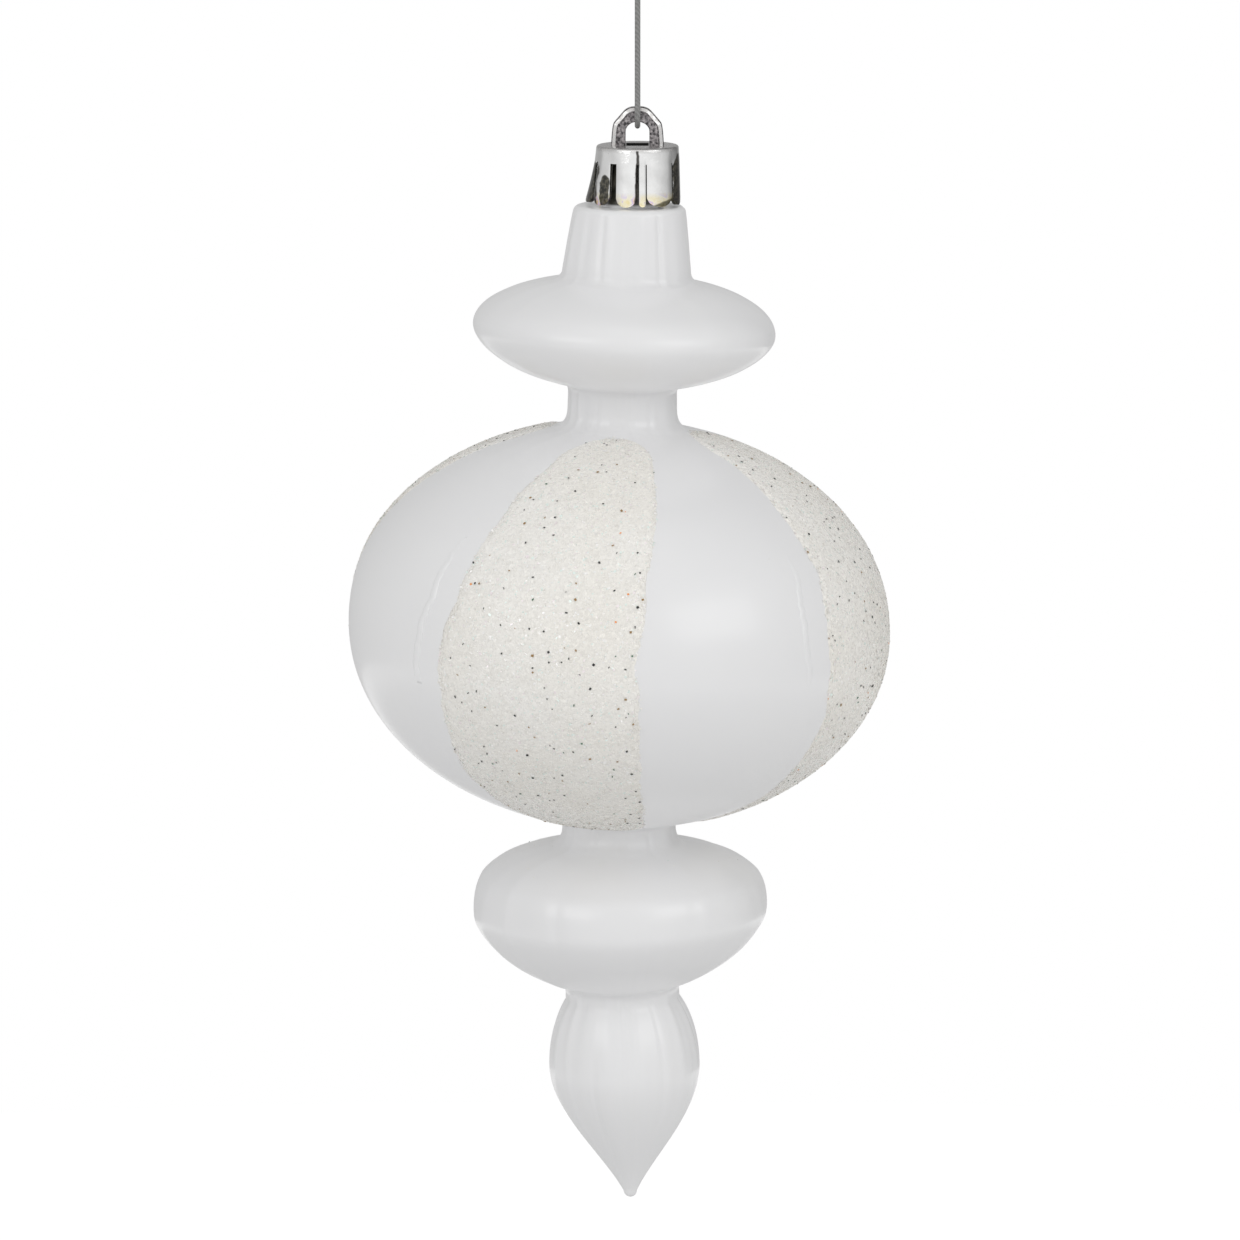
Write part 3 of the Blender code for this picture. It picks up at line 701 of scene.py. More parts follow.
def make_knot(material):
    """An overhand knot: a coil of the two strands drawn tight, with two cut ends."""
    centre = Vector((0.0, 0.0, KNOT_Z))
    coil = []
    turns = 2.6
    points = 34
    for i in range(points + 1):
        share = i / points
        angle = 2 * math.pi * turns * share
        radius = KNOT_COIL_RADIUS * (1 - 0.12 * math.cos(2 * math.pi * share))
        rise = (share - 0.5) * 2.0 * MM
        coil.append(centre + Vector((radius * math.cos(angle), radius * math.sin(angle), rise)))
    cores = []
    for side in (-1, 1):
        core = [(0.0, side * STRAND_HALF_SPREAD, -2.1 * MM), (0.0, side * 0.25 * MM, -0.8 * MM),
                (-side * 0.2 * MM, 0.0, 0.8 * MM), (-side * STRAND_HALF_SPREAD, 0.0, 2.1 * MM)]
        cores.append([centre + Vector(place) for place in core])
    end = coil[-1]
    tails = [
        [end - Vector((0.5 * MM, 0.0, 0.2 * MM)), end + Vector((0.6 * MM, 0.3 * MM, 0.5 * MM)),
         end + Vector((0.5 * KNOT_TAIL, 0.2 * MM, 0.6 * KNOT_TAIL))],
        [coil[-2], end + Vector((-0.2 * MM, 0.5 * MM, 0.7 * MM)),
         end + Vector((-0.1 * MM, 0.9 * MM, 0.75 * KNOT_TAIL))],
    ]
    parts = [make_cord("knot_part", route, material, 0.25 * MM)[0] for route in [coil] + cores + tails]
    mesh = bmesh.new()
    for part in parts:
        mesh.from_mesh(shaped_mesh(part))
        bpy.data.objects.remove(part, do_unlink=True)
    return smooth(add_mesh("overhand_knot", mesh, material))


def make_cords():
    """Both stretches of the cord and its knot; the stretches' lengths are worked out and left unused."""
    material = cord_material()
    knot = settle(make_knot(material), "knot", "grey_cord", "cord_knot")
    strands, strand_length = make_cord("thread_strands", strand_route(), material)
    settle(strands, "strands", "grey_cord", "cord_strands")
    loop, loop_length = make_cord("thread_loop", loop_route(), material)
    settle(loop, "hanging_loop", "grey_cord", "hanging_loop")


# ==== Shell ====
class Lobe:
    """One bulge of the shell: two half lenses that meet at its widest ring."""

    def __init__(self, radius, height, rise, drop, upper_fullness, lower_fullness):
        self.radius = radius
        self.height = height
        self.rise = rise
        self.drop = drop
        self.upper_fullness = upper_fullness
        self.lower_fullness = lower_fullness

    def point(self, angle):
        """(radius, height) at an angle above (+) or below (-) the widest ring."""
        if angle >= 0:
            lift = self.rise * math.sin(angle) ** self.upper_fullness
        else:
            lift = -self.drop * math.sin(-angle) ** self.lower_fullness
        return self.radius * math.cos(angle), self.height + lift

    def above(self, from_radius, steps):
        """Points from from_radius down to the widest ring."""
        start = math.acos(from_radius / self.radius)
        return [self.point(start * (1 - i / steps)) for i in range(steps + 1)]

    def below(self, to_radius, steps):
        """Points from just under the widest ring down to to_radius."""
        end = -math.acos(to_radius / self.radius)
        return [self.point(end * i / steps) for i in range(1, steps + 1)]


TOP_DISC = Lobe(21.7 * MM, -26.4 * MM, 7.9 * MM, 8.65 * MM, 0.97, 1.13)
BODY = Lobe(BODY_RADIUS, BODY_Z, BODY_RISE, BODY_DROP, 0.966, 0.988)
LOWER_DISC = Lobe(21.35 * MM, -111.4 * MM, 10.5 * MM, 12.0 * MM, 0.61, 1.35)


def axis_x(height):
    """Sideways place of the shell's bowed axis at a height."""
    along = (height - AXIS_MIDDLE_Z) / AXIS_HALF_LENGTH
    return AXIS_TOP_X - AXIS_BOW * (1 - along * along)


def bent(radius, azimuth, height):
    """Points of the straight shell, as arrays, on its bowed axis under the cap."""
    radius, azimuth, height = np.broadcast_arrays(radius, azimuth, height)
    lean = np.radians(np.interp(height, [z for z, _ in LEANS], [a for _, a in LEANS]))
    across = radius * np.sin(azimuth)
    return np.stack((
        axis_x(height) + across * np.cos(lean),
        -radius * np.cos(azimuth),
        CAP_TOP_Z + height - across * np.sin(lean)), axis=-1)


def fillet(start, corner, end, steps=8):
    """Points after start on the curve that leaves it towards corner and arrives at end."""
    points = []
    for i in range(1, steps + 1):
        t = i / steps
        points.append(tuple(
            (1 - t) ** 2 * a + 2 * t * (1 - t) * b + t * t * c
            for a, b, c in zip(start, corner, end)))
    return points


def filleted_lobe(neck_radius, size, lobe, next_radius, next_size, steps):
    """A neck's foot, its fillet onto a lobe, the lobe, and the fillet onto the next neck."""
    reach, height = size
    upper = lobe.above(neck_radius + reach, steps)
    foot = (neck_radius, upper[0][1] + height)
    points = [foot]
    points += fillet(foot, (neck_radius, upper[0][1] + FILLET_PULL * height), upper[0])
    points += upper[1:]
    reach, height = next_size
    points += lobe.below(next_radius + reach, steps)
    corner = lobe.below(next_radius, 1)[-1]
    points += fillet(points[-1], corner, (next_radius, corner[1] - height))
    return points


def drop_radius(height):
    """Radius of the drop under its widest ring."""
    down = (DROP_Z - height) / (DROP_Z - DROP_POINT_Z)
    return DROP_RADIUS * (1 - down ** DROP_SWELL) ** DROP_TAPER


def drop_outline():
    """The last lobe: swells from the lower waist, then tapers to a rounded tip."""
    start = math.acos(LOWER_WAIST_RADIUS / DROP_RADIUS)
    steps = 12
    points = []
    for i in range(steps):
        angle = start * (1 - i / steps)
        points.append((DROP_RADIUS * math.cos(angle), DROP_Z + DROP_RISE * math.sin(angle)))
    down = (1 - (TIP_RADIUS / DROP_RADIUS) ** (1 / DROP_TAPER)) ** (1 / DROP_SWELL)
    tip_centre = DROP_Z - down * (DROP_Z - DROP_POINT_Z)
    steps = 34
    for i in range(steps + 1):
        height = DROP_Z + (tip_centre - DROP_Z) * i / steps
        points.append((drop_radius(height), height))
    for degrees in (20, 40, 60, 80):
        angle = math.radians(degrees)
        points.append((TIP_RADIUS * math.cos(angle), tip_centre - TIP_RADIUS * math.sin(angle)))
    return points


def shell_outline():
    """Outer (radius, height) points from the spigot's lip to the tip."""
    points = [(SPIGOT_RADIUS, z) for z in (SPIGOT_TOP_Z, -3 * MM, -5 * MM, SHOULDER_Z)]
    round_radius = NECK_TOP_RADIUS - SHOULDER_ROUND
    points += [(0.5 * (SPIGOT_RADIUS + round_radius), SHOULDER_Z)]
    for i in range(8):
        angle = 0.5 * math.pi * (1 - i / 7)
        points.append((round_radius + SHOULDER_ROUND * math.cos(angle),
                       SHOULDER_Z - SHOULDER_ROUND * (1 - math.sin(angle))))
    last_radius, last_height = points[-1]
    neck_foot = TOP_DISC.above(NECK_BASE_RADIUS + NECK_FILLET[0], 2)[0][1] + NECK_FILLET[1]
    for i in range(1, 9):
        points.append((last_radius + (NECK_BASE_RADIUS - last_radius) * i / 9,
                       last_height + (neck_foot - last_height) * i / 9))
    points += filleted_lobe(NECK_BASE_RADIUS, NECK_FILLET, TOP_DISC, WAIST_RADIUS, WAIST_TOP_FILLET, 22)
    points += filleted_lobe(WAIST_RADIUS, WAIST_FILLET, BODY,
                            LOWER_NECK_RADIUS, LOWER_NECK_TOP_FILLET, 44)
    points += filleted_lobe(LOWER_NECK_RADIUS, LOWER_NECK_FILLET, LOWER_DISC,
                            LOWER_WAIST_RADIUS, LOWER_WAIST_TOP_FILLET, 22)
    points += drop_outline()
    return softened(np.array(points))


def softened(outline):
    """The outline with each disc's widest ring eased, where its two halves meet."""
    near = np.zeros(len(outline), dtype=bool)
    for disc in (TOP_DISC, LOWER_DISC):
        near |= np.abs(outline[:, 1] - disc.height) < DISC_EASE
    for _ in range(6):
        eased = outline.copy()
        eased[1:-1] = 0.25 * outline[:-2] + 0.5 * outline[1:-1] + 0.25 * outline[2:]
        outline = np.where(near[:, None], eased, outline)
    return outline


def angle_from(start, azimuths):
    """How far azimuths are from start, the short way round."""
    return (azimuths - start + math.pi) % (2 * math.pi) - math.pi


def wrinkle_relief(heights, azimuths):
    """How far the shell stands out from its plain outline, by blown wrinkles and the mould's seam."""
    random = np.random.default_rng(WRINKLE_SEED)
    places, depths = np.array(WRINKLES).T * MM
    depth = np.interp(heights, places, depths)[:, None]
    relief = np.zeros((len(heights), len(azimuths)))
    for k in range(WRINKLE_COUNT):
        centre = 2 * math.pi * (k + random.uniform(-0.35, 0.35)) / WRINKLE_COUNT
        width = math.radians(random.uniform(2.2, 5.5))
        weight = random.uniform(0.4, 1.0) * random.choice((-1.0, 1.0))
        fade = np.array([noise.noise(Vector((7.3 * k, 0.0, z / (17 * MM)))) for z in heights])
        fade = 0.45 + 0.9 * fade
        sway = np.array([noise.noise(Vector((3.1 * k, 9.0, z / (12 * MM)))) for z in heights])
        off = angle_from(centre, azimuths[None, :] - math.radians(2.5) * sway[:, None])
        relief += weight * depth * fade[:, None] * np.exp(-(off / width) ** 2)
    for seam in (SEAM_AZIMUTH, SEAM_AZIMUTH + math.pi):
        line = np.exp(-(angle_from(seam, azimuths) / SEAM_WIDTH) ** 2)[None, :]
        on_body = np.clip(1 - np.abs(heights - BODY_Z) / (26 * MM), 0, 1)[:, None]
        relief += SEAM_HEIGHT * (1 - np.minimum(1, 2 * on_body)) * line
    return relief


def broad_relief(heights, azimuths):
    """Slow unevenness of the blown wall."""
    relief = np.zeros((len(heights), len(azimuths)))
    for i, z in enumerate(heights):
        for j, a in enumerate(azimuths):
            place = Vector((math.cos(a) * 2.2, math.sin(a) * 2.2, z / (11 * MM)))
            relief[i, j] = noise.noise(place)
    return 0.1 * MM * relief


def make_shell(material):
    """The shell as one closed wall: a finely stepped outside, and a plain lining up to the lip."""
    outline = shell_outline()
    azimuths = np.linspace(0, 2 * math.pi, SHELL_SEGMENTS, endpoint=False)
    below = (outline[:, 1] < SHOULDER_Z - 0.5 * SHOULDER_ROUND)[:, None]
    relief = wrinkle_relief(outline[:, 1], azimuths) + broad_relief(outline[:, 1], azimuths)
    taper = np.clip(outline[:, 0] / (6 * MM), 0, 1)[:, None]
    radii, heights = outline[:, 0][:, None], outline[:, 1][:, None]
    outside = bent(radii + relief * below * taper, azimuths[None, :], heights)
    run = np.gradient(outline, axis=0)
    run /= np.linalg.norm(run, axis=1)[:, None]
    inner = outline + SHELL_WALL * np.stack((run[:, 1], -run[:, 0]), axis=1)
    keep = (outline[:, 0] > 3 * MM) & (inner[:, 1] < SHOULDER_Z - SHOULDER_ROUND)
    bore = SPIGOT_RADIUS - SHELL_WALL
    lining = np.concatenate((
        inner[keep][::3][::-1],
        [(NECK_TOP_RADIUS - SHELL_WALL, SHOULDER_Z - SHELL_WALL), (bore, SHOULDER_Z - SHELL_WALL),
         (bore, SPIGOT_TOP_Z)]))
    inside = bent(lining[:, 0][:, None], azimuths[None, :], lining[:, 1][:, None])
    count = len(azimuths)
    rows = len(outside)
    tip = bent(0.0, 0.0, outline[-1, 1] - 0.02 * MM)
    pole = bent(0.0, 0.0, lining[0, 1] - 0.6 * lining[0, 0])
    vertices = np.concatenate((outside.reshape(-1, 3), inside.reshape(-1, 3), [tip, pole]))
    first = rows * count
    faces = [f[::-1] for f in grid_faces(rows, count, True)]
    for f in grid_faces(len(inside), count, True):
        faces.append(tuple(first + i for i in f[::-1]))
    tip_index = first + len(inside) * count
    lip = first + (len(inside) - 1) * count
    for j in range(count):
        k = (j + 1) % count
        faces.append(((rows - 1) * count + k, (rows - 1) * count + j, tip_index))
        faces.append((first + j, first + k, tip_index + 1))
        faces.append((j, k, lip + k, lip + j))
    return smooth(add_arrays("blown_shell", vertices, faces, material), 50)


# ==== Glitter panels ====
def body_surface(latitude, azimuth, lift):
    """Points off the body's surface by lift, and its outward normals, as arrays."""
    latitude, azimuth, lift = np.broadcast_arrays(latitude, azimuth, lift)
    upper = latitude >= 0
    depth = np.where(upper, BODY_RISE, BODY_DROP)
    fullness = np.where(upper, BODY.upper_fullness, BODY.lower_fullness)
    radius = BODY_RADIUS * np.cos(latitude)
    height = BODY_Z + np.sign(latitude) * depth * np.abs(np.sin(latitude)) ** fullness
    normal_out = depth * np.cos(latitude)
    normal_up = BODY_RADIUS * np.sin(latitude)
    size = np.hypot(normal_out, normal_up)
    normal_out, normal_up = normal_out / size, normal_up / size
    points = bent(radius + lift * normal_out, azimuth, height + lift * normal_up)
    normals = np.stack(
        (normal_out * np.sin(azimuth), -normal_out * np.cos(azimuth), normal_up), axis=-1)
    return points, normals


def edge_waver(latitude, phase):
    """How a brushed edge wanders, in radians: a slow wave and a fine ragged one."""
    slow = [noise.noise(Vector((phase, float(a) * 5.5, 0.0))) for a in latitude]
    fine = [noise.noise(Vector((phase, float(a) * 34.0, 4.0))) for a in latitude]
    return math.radians(1.3) * np.array(slow) + math.radians(0.5) * np.array(fine)


def panel_edges(centre, corners, latitude):
    """Azimuths of a panel's two edges: wider towards the necks, rounded at both ends."""
    reach = np.abs(latitude / PANEL_TOP) ** 3
    half = PANEL_HALF_ARC * (1 + PANEL_WIDENING * reach)
    past = np.maximum(latitude - (PANEL_TOP - PANEL_CORNER), (PANEL_BOTTOM + PANEL_CORNER) - latitude)
    rounding = np.sqrt(np.clip(1 - (np.clip(past, 0, None) / PANEL_CORNER) ** 2, 0, 1))
    half = half * np.where(past > 0, np.maximum(PANEL_END_SHARE, rounding), 1.0)
    middle = centre + PANEL_DRIFT * reach
    share = np.minimum(1, np.abs(latitude) / PANEL_TURN_LATITUDE)
    left_turn = np.where(latitude > 0, corners[0], corners[2]) * share
    right_turn = np.where(latitude > 0, corners[1], corners[3]) * share
    left = middle - half + left_turn + edge_waver(latitude, centre)
    right = middle + half + right_turn + edge_waver(latitude, centre + 9.0)
    return left, right


def make_panel(name, centre, corners, material):
    """The glued bed of one panel: a thin skin that thins out to its edges."""
    latitude = np.linspace(PANEL_BOTTOM, PANEL_TOP, PANEL_ROWS)
    left, right = panel_edges(centre, corners, latitude)
    across = np.linspace(0, 1, PANEL_COLUMNS)
    azimuth = left[:, None] + (right - left)[:, None] * across[None, :]
    edge = np.minimum(across, 1 - across)[None, :] * PANEL_COLUMNS / 3
    end = np.minimum(np.arange(PANEL_ROWS), np.arange(PANEL_ROWS)[::-1])[:, None] / 3
    rise = np.clip(np.minimum(edge, end), 0, 1)
    random = np.random.default_rng(PANEL_SEED + round(math.degrees(centre)))
    grain = random.uniform(-BED_GRAIN, BED_GRAIN, azimuth.shape) * MM
    top, _ = body_surface(latitude[:, None], azimuth, BED_SUNK + rise * (BED_THICKNESS + grain))
    bottom, _ = body_surface(latitude[:, None], azimuth, BED_UNDERSIDE)
    return make_sheet(name, top, bottom, material)


def flake_arrays(points, normals, sizes, random, tilt):
    """Tilted four-sided flakes, each a shallow closed pyramid with its flat face outwards."""
    count = len(points)
    lean = np.abs(random.normal(0, tilt, count))
    turn = random.uniform(0, 2 * math.pi, count)
    helper = np.where(np.abs(normals[:, 2:3]) < 0.8, [[0.0, 0.0, 1.0]], [[1.0, 0.0, 0.0]])
    side = np.cross(normals, helper)
    side /= np.linalg.norm(side, axis=1)[:, None]
    other = np.cross(normals, side)
    slant = np.cos(turn)[:, None] * side + np.sin(turn)[:, None] * other
    facing = np.cos(lean)[:, None] * normals + np.sin(lean)[:, None] * slant
    spin = random.uniform(0, 2 * math.pi, count)[:, None]
    first = np.cross(facing, slant)
    second = np.cross(facing, first)
    long_way = np.cos(spin) * first + np.sin(spin) * second
    short_way = np.cross(facing, long_way)
    aspect = random.uniform(0.35, 1.0, count)
    a = long_way * sizes[:, None]
    b = short_way * (sizes * aspect)[:, None]
    skew = random.uniform(-0.35, 0.35, (4, count, 1))
    corners = [points - a - b * (1 + skew[0]), points + a - b * (1 + skew[1]),
               points + a + b * (1 + skew[2]), points - a + b * (1 + skew[3])]
    keel = points - facing * FLAKE_DEPTH
    return np.stack(corners + [keel], axis=1).reshape(-1, 3)


def make_flakes(name, vertices, kinds, materials):
    """One object of many flakes, each with the material of its kind."""
    count = len(kinds)
    faces = []
    for k in range(count):
        o = 5 * k
        faces.append((o, o + 1, o + 2, o + 3))
        for i in range(4):
            faces.append((o + (i + 1) % 4, o + i, o + 4))
    flakes = add_arrays(name, vertices, faces, *materials)
    flakes.data.polygons.foreach_set("material_index", np.repeat(kinds, 5))
    flakes.data.update()
    return flakes


def scatter(centre, corners, count, random):
    """Latitudes and azimuths spread evenly over one panel, by area."""
    latitudes, azimuths = [], []
    widest = PANEL_HALF_ARC * (1 + PANEL_WIDENING) + math.radians(9)
    while len(latitudes) < count:
        latitude = random.uniform(PANEL_BOTTOM, PANEL_TOP, 4 * count)
        azimuth = centre + PANEL_DRIFT * 0.5 + random.uniform(-1, 1, 4 * count) * (widest + PANEL_DRIFT)
        left, right = panel_edges(centre, corners, latitude)
        margin = math.radians(0.3)
        slope = np.sqrt((BODY_RADIUS * np.sin(latitude)) ** 2 + (BODY_RISE * np.cos(latitude)) ** 2)
        wanted = np.cos(latitude) * slope / BODY_RADIUS > random.uniform(0, 1, 4 * count)
        inside = (azimuth > left + margin) & (azimuth < right - margin) & wanted
        latitudes.extend(latitude[inside])
        azimuths.extend(azimuth[inside])
    return np.array(latitudes[:count]), np.array(azimuths[:count])


def flake_kinds(count, random):
    """The kind of each flake; most are clear or white, and few are coloured."""
    return random.choice(len(FLAKES), count, p=[kind[-1] for kind in FLAKES])


def make_panels(shell_material):
    """All four panels with their flakes, and the line of glue that stands by each one's left edge."""
    bed = glitter_base_material()
    films = flake_materials()
    for side, turn, corner_turns in PANELS:
        centre = math.radians(turn)
        corners = [math.radians(angle) for angle in corner_turns]
        random = np.random.default_rng(PANEL_SEED + turn)
        panel = make_panel("glitter_bed_" + side, centre, corners, bed)
        settle(panel, "shell", "glitter", "glitter_panel_" + side)
        latitude, azimuth = scatter(centre, corners, FLAKE_COUNT, random)
        kinds = flake_kinds(FLAKE_COUNT, random)
        coloured = kinds >= FIRST_COLOURED_KIND
        lift = np.where(coloured, COLOURED_LIFT, random.uniform(*FLAKE_LIFT, FLAKE_COUNT)) * MM
        left, right = panel_edges(centre, corners, latitude)
        inset = np.minimum(azimuth - left, right - azimuth) * BODY_RADIUS * np.cos(latitude)
        lift *= 0.35 + 0.65 * np.clip(inset / FLAKE_EDGE_EASE, 0, 1)
        points, normals = body_surface(latitude, azimuth, lift)
        sizes = random.lognormal(math.log(FLAKE_SIZE), FLAKE_SIZE_SPREAD, FLAKE_COUNT)
        sizes = np.clip(sizes, *FLAKE_SIZE_LIMITS) * MM
        sizes[coloured] = random.uniform(*COLOURED_SIZE, coloured.sum()) * MM
        vertices = flake_arrays(points, normals, sizes, random, FLAKE_TILT)
        flakes = make_flakes("glitter_flakes_" + side, vertices, kinds, films)
        settle(flakes, "shell", "glitter")
        glue = make_glue_line("glue_line_" + side, centre, corners, shell_material)
        settle(glue, "shell", "pearl_plastic")
    settle(make_strays(films), "shell", "glitter")


def make_strays(films):
    """Nearly flat flakes that fell beside the panels and on the lower disc."""
    random = np.random.default_rng(STRAY_SEED)
    latitude = np.arcsin(random.uniform(-0.95, 0.9, STRAY_COUNT))
    azimuth = random.uniform(0, 2 * math.pi, STRAY_COUNT)
    points, normals = body_surface(latitude, azimuth, 0.06 * MM)
    angle = random.uniform(0.5, 1.2, STRAY_COUNT)
    around = random.uniform(0, 2 * math.pi, STRAY_COUNT)
    ring = np.array([LOWER_DISC.point(a) for a in angle])
    disc_points = bent(ring[:, 0] + 0.06 * MM, around, ring[:, 1] + 0.04 * MM)
    out = np.cos(angle)
    disc_normals = np.stack((out * np.sin(around), -out * np.cos(around), np.sin(angle)), axis=-1)
    sizes = random.uniform(0.05, 0.10, 2 * STRAY_COUNT) * MM
    vertices = flake_arrays(np.concatenate((points, disc_points)),
                            np.concatenate((normals, disc_normals)), sizes, random, math.radians(3))
    return make_flakes("stray_flakes", vertices, flake_kinds(2 * STRAY_COUNT, random), films)


def make_glue_line(name, centre, corners, material):
    """A low bead of glue that runs beside the panel's left edge over the body's middle."""
    rows, columns = 60, 9
    latitude = np.linspace(math.radians(-8), math.radians(33), rows)
    left, _ = panel_edges(centre, corners, latitude)
    share = np.linspace(-1, 1, columns)
    fade = np.sin(np.linspace(0, math.pi, rows)) ** 0.7
    offset = math.radians(5.2) + math.radians(1.5) * np.sin(np.linspace(0.2, 2.6, rows))
    half_width = math.radians(0.9)
    azimuth = (left - offset)[:, None] + half_width * share[None, :]
    lift = 0.08 * MM * fade[:, None] * np.cos(0.5 * math.pi * share)[None, :]
    lift -= 0.05 * MM * (np.abs(share) > 0.99)
    top, _ = body_surface(latitude[:, None], azimuth, lift)
    bottom, _ = body_surface(latitude[:, None], azimuth, GLUE_UNDERSIDE)
    return make_sheet(name, top, bottom, material)


# ==== Cap ====
def cap_point(radius, azimuth, height):
    """A place round the cap's axis, its height taken from the flat top."""
    return Vector((radius * math.sin(azimuth), -radius * math.cos(azimuth), CAP_TOP_Z + height))


def petal_lean(centre, across):
    """Outward lean of a petal: the off-centre neck splays and twists the one on the -X side."""
    towards_left = max(0.0, math.cos(centre + math.pi / 2))
    twist = 0.5 * (1 - across)
    return PETAL_LEAN + PETAL_SPLAY * towards_left ** 4 * (PETAL_TWIST + (1 - PETAL_TWIST) * twist)


def cap_columns():
    """(azimuth, place across its petal or gap, petal number or None) right round the cap."""
    columns = []
    for petal, (middle, arc) in enumerate(PETALS):
        for j in range(PETAL_COLUMNS + 1):
            across = 2 * j / PETAL_COLUMNS - 1
            columns.append((math.radians(middle + 0.5 * arc * across), across, petal))
        next_middle, next_arc = PETALS[(petal + 1) % len(PETALS)]
        start = middle + 0.5 * arc
        gap = (next_middle - 0.5 * next_arc - start) % 360
        for share in (0.25, 0.5, 0.75):
            columns.append((math.radians(start + gap * share), 1.0, None))
    return columns


def make_cap_sheet():
    """The outer surface of the plate, skirt and petals, with each petal slightly crowned."""
    mesh = bmesh.new()
    columns = cap_columns()
    count = len(columns)
    skirt_radius = CAP_RADIUS + SKIRT_FLARE
    rim = [(share * (CAP_RADIUS - RIM_ROUND), 0.0) for share in (0.36, 0.6, 0.8, 0.92, 1.0)]
    for i in range(1, 5):
        angle = 0.5 * math.pi * (1 - i / 4)
        rim.append((CAP_RADIUS - RIM_ROUND * (1 - math.cos(angle)), -RIM_ROUND * (1 - math.sin(angle))))
    for i in range(1, 6):
        height = -RIM_ROUND - (SKIRT_DEPTH - RIM_ROUND) * i / 5
        rim.append((CAP_RADIUS + SKIRT_FLARE * i / 5, height))
    rings = []
    for radius, height in rim:
        crown = PETAL_CROWN * min(1.0, max(0.0, -height / SKIRT_DEPTH)) ** 1.5
        row = []
        for azimuth, across, _ in columns:
            place = cap_point(radius + crown * (1 - across * across), azimuth, height)
            row.append(mesh.verts.new(place))
        rings.append(row)
    middle = mesh.verts.new((0.0, 0.0, CAP_TOP_Z))
    for j in range(count):
        k = (j + 1) % count
        mesh.faces.new((middle, rings[0][j], rings[0][k]))
        for upper, lower in zip(rings, rings[1:]):
            mesh.faces.new((upper[j], lower[j], lower[k], upper[k]))
    random = np.random.default_rng(PETAL_SEED)
    longer = random.uniform(-0.1, 0.1, len(PETALS)) * MM
    previous = rings[-1]
    steps = 14
    for step in range(1, steps + 1):
        share = step / steps
        row = []
        for azimuth, across, petal in columns:
            if petal is None:
                row.append(None)
                continue
            middle, arc = PETALS[petal]
            tip_round = 0.5 * min(math.radians(arc), MOST_ROUND) * skirt_radius
            end = PETAL_TIP_Z + longer[petal] + tip_round * (1 - math.sqrt(1 - 0.97 * across * across))
            height = -SKIRT_DEPTH + (end + SKIRT_DEPTH) * share
            lean = petal_lean(math.radians(middle), across)
            radius = skirt_radius - (height + SKIRT_DEPTH) * math.tan(lean)
            radius += PETAL_CROWN * (1 - across * across)
            row.append(mesh.verts.new(cap_point(radius, azimuth, height)))
        for j in range(count - 1):
            if row[j] and row[j + 1]:
                mesh.faces.new((previous[j], row[j], row[j + 1], previous[j + 1]))
        previous = row
    return mesh


def make_slot_cutter(material):
    """The block that opens the plate under the arch."""
    mesh = bmesh.new()
    bmesh.ops.create_cube(mesh, size=1.0)
    bmesh.ops.scale(mesh, vec=(SLOT_WIDTH, SLOT_BACK - SLOT_FRONT, SLOT_HEIGHT), verts=mesh.verts)
    bmesh.ops.translate(mesh, vec=(0.0, 0.5 * (SLOT_FRONT + SLOT_BACK), CAP_TOP_Z), verts=mesh.verts)
    return add_mesh("slot_cutter", mesh, material)


def make_cap_body(chrome, inside):
    """Plate, skirt and petals with a wall, a slot under the arch and eased edges."""
    cap = add_mesh("petal_cap", make_cap_sheet(), chrome, inside)
    wall = cap.modifiers.new("wall", "SOLIDIFY")
    wall.thickness = CAP_WALL
    wall.offset = -1.0
    wall.use_even_offset = True
    # The wall's inner faces, and the slot's walls through TRANSFER, take the inside material's painted
    # shade.
    wall.material_offset = 1
    wall.material_offset_rim = 0
    cutter = make_slot_cutter(inside)
    slot = cap.modifiers.new("slot", "BOOLEAN")
    slot.operation = "DIFFERENCE"
    slot.material_mode = "TRANSFER"
    slot.object = cutter
    ease = cap.modifiers.new("ease", "BEVEL")
    ease.width = 0.07 * MM
    ease.segments = 2
    ease.limit_method = "ANGLE"
    ease.angle_limit = math.radians(50)
    shaped = shaped_mesh(cap)
    cap.modifiers.clear()
    cap.data = shaped
    bpy.data.objects.remove(cutter, do_unlink=True)
    return smooth(cap, 40)


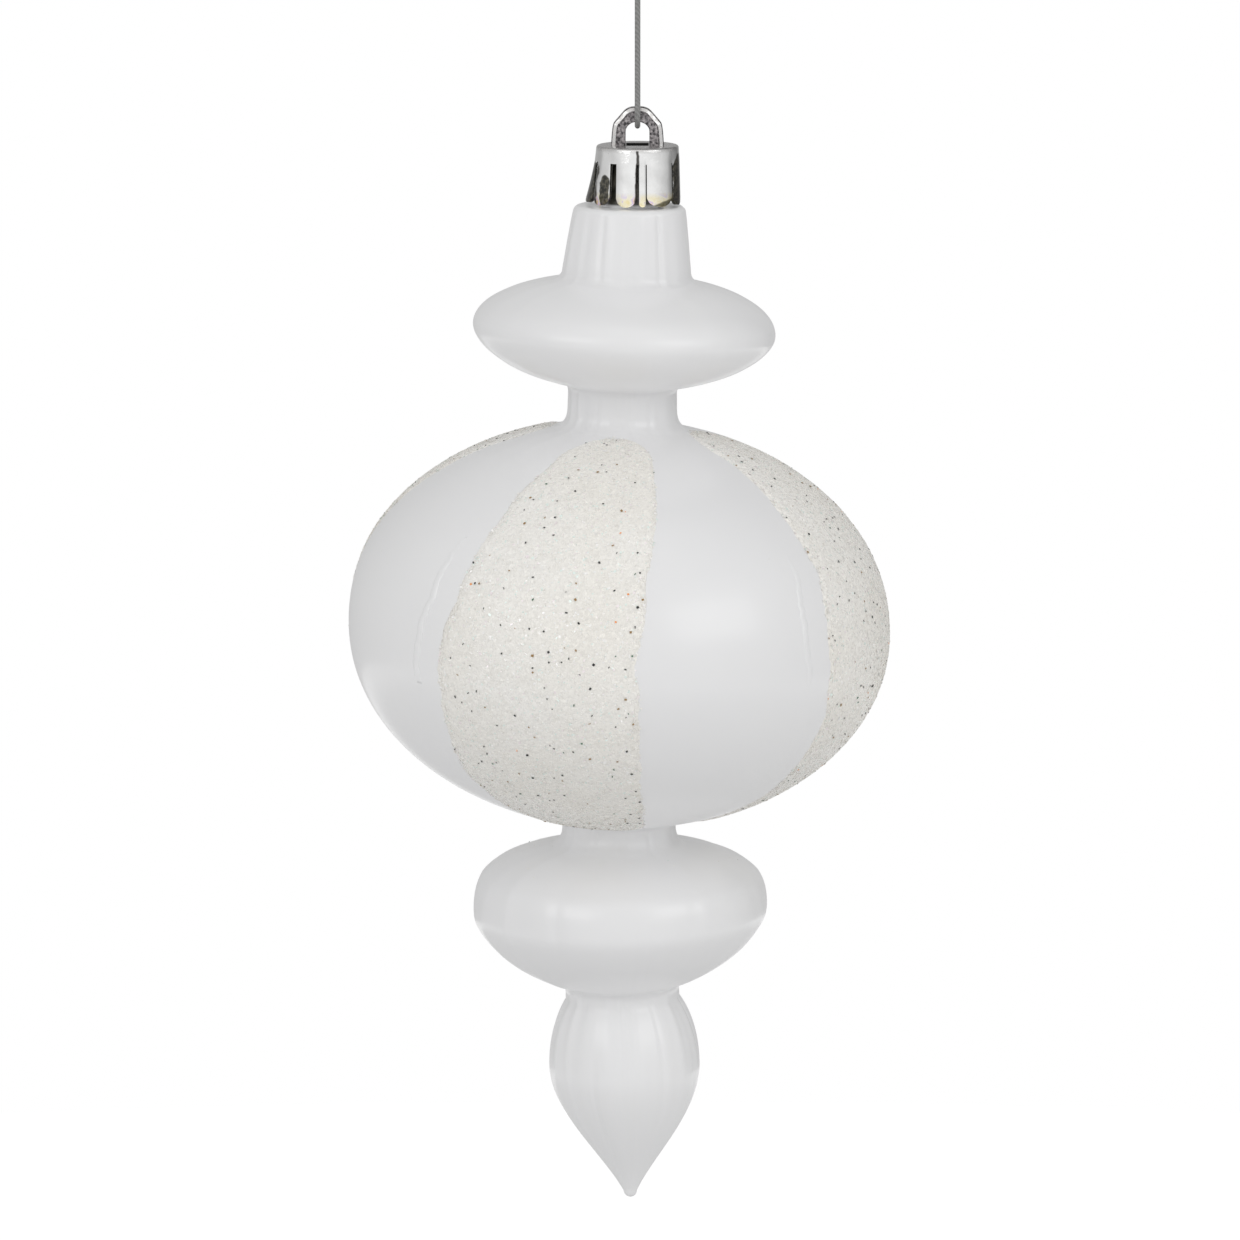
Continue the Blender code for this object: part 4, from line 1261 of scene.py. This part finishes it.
def ring_outline():
    """Pairs of (x, z) on the ring's outside and on its arch, from the left root to the right."""
    outside = [(3.77, -0.35), (3.70, 0.9), (3.62, 1.9), (3.50, 2.75), (3.30, 3.25), (2.55, 4.15),
               (1.90, 4.88), (1.45, 5.22), (0.80, 5.44)]
    arch = [(1.69, -0.35), (1.69, 0.7), (1.69, 1.45), (1.665, 2.19), (1.53, 2.54), (1.25, 2.89),
            (0.92, 3.12), (0.62, 3.25), (0.3, 3.33)]
    right = [(Vector((a[0], 0.0, a[1])), Vector((b[0], 0.0, b[1]))) for a, b in zip(outside, arch)]
    crown = [(Vector((0.0, 0.0, RING_TOP / MM)), Vector((0.0, 0.0, ARCH_TOP / MM)))]
    left = [(Vector((-a.x, 0.0, a.z)), Vector((-b.x, 0.0, b.z))) for a, b in right]
    return left + crown + right[::-1]


def make_ring(chrome, mottled):
    """The moulded ring: edge, bright chamfer, a fine groove and a dull flat face, front and back."""
    pairs = ring_outline()
    outside = refined([a for a, _ in pairs], 5)
    arch = refined([b for _, b in pairs], 5)
    cap_top = Vector((0.0, 0.0, CAP_TOP_Z))
    mesh = bmesh.new()
    loops = []
    for outer, inner in zip(outside, arch):
        way = inner - outer
        width = way.length
        way = way / width
        profile = list(RING_SECTION) + [(width - 0.16, 0.90), (width - 0.04, 0.83), (width, 0.70)]
        section = [(d, -y) for d, y in profile] + [(d, y) for d, y in profile[::-1]]
        loops.append([mesh.verts.new((outer + way * d + Vector((0.0, y, 0.0))) * MM + cap_top)
                      for d, y in section])
    count = len(loops[0])
    dull = {0, *range(4, 10), *range(count - 11, count - 5), count - 2}
    for first, second in zip(loops, loops[1:]):
        for j in range(count):
            k = (j + 1) % count
            face = mesh.faces.new((first[j], first[k], second[k], second[j]))
            face.material_index = 1 if j in dull else 0
    mesh.faces.new(loops[0][::-1])
    mesh.faces.new(loops[-1])
    bmesh.ops.recalc_face_normals(mesh, faces=mesh.faces)
    return smooth(add_mesh("cap_ring", mesh, chrome, mottled), 17)


def make_cap():
    """The cap's plate and petals with its ring."""
    chrome = chrome_material()
    cap = make_cap_body(chrome, inside_shade_material())
    settle(cap, "cap", "chrome_cap", "cap")
    settle(make_ring(chrome, mottled_material()), "cap", "chrome_cap", "cap")


# ==== Build ====
bpy.context.scene.view_settings.view_transform = "Standard"
make_camera()
make_cords()
make_world()
make_floor()
for softbox in SOFTBOXES:
    make_softbox(*softbox)
pearl = pearl_material()
settle(make_shell(pearl), "shell", "pearl_plastic", "shell")
make_panels(pearl)
make_cap()
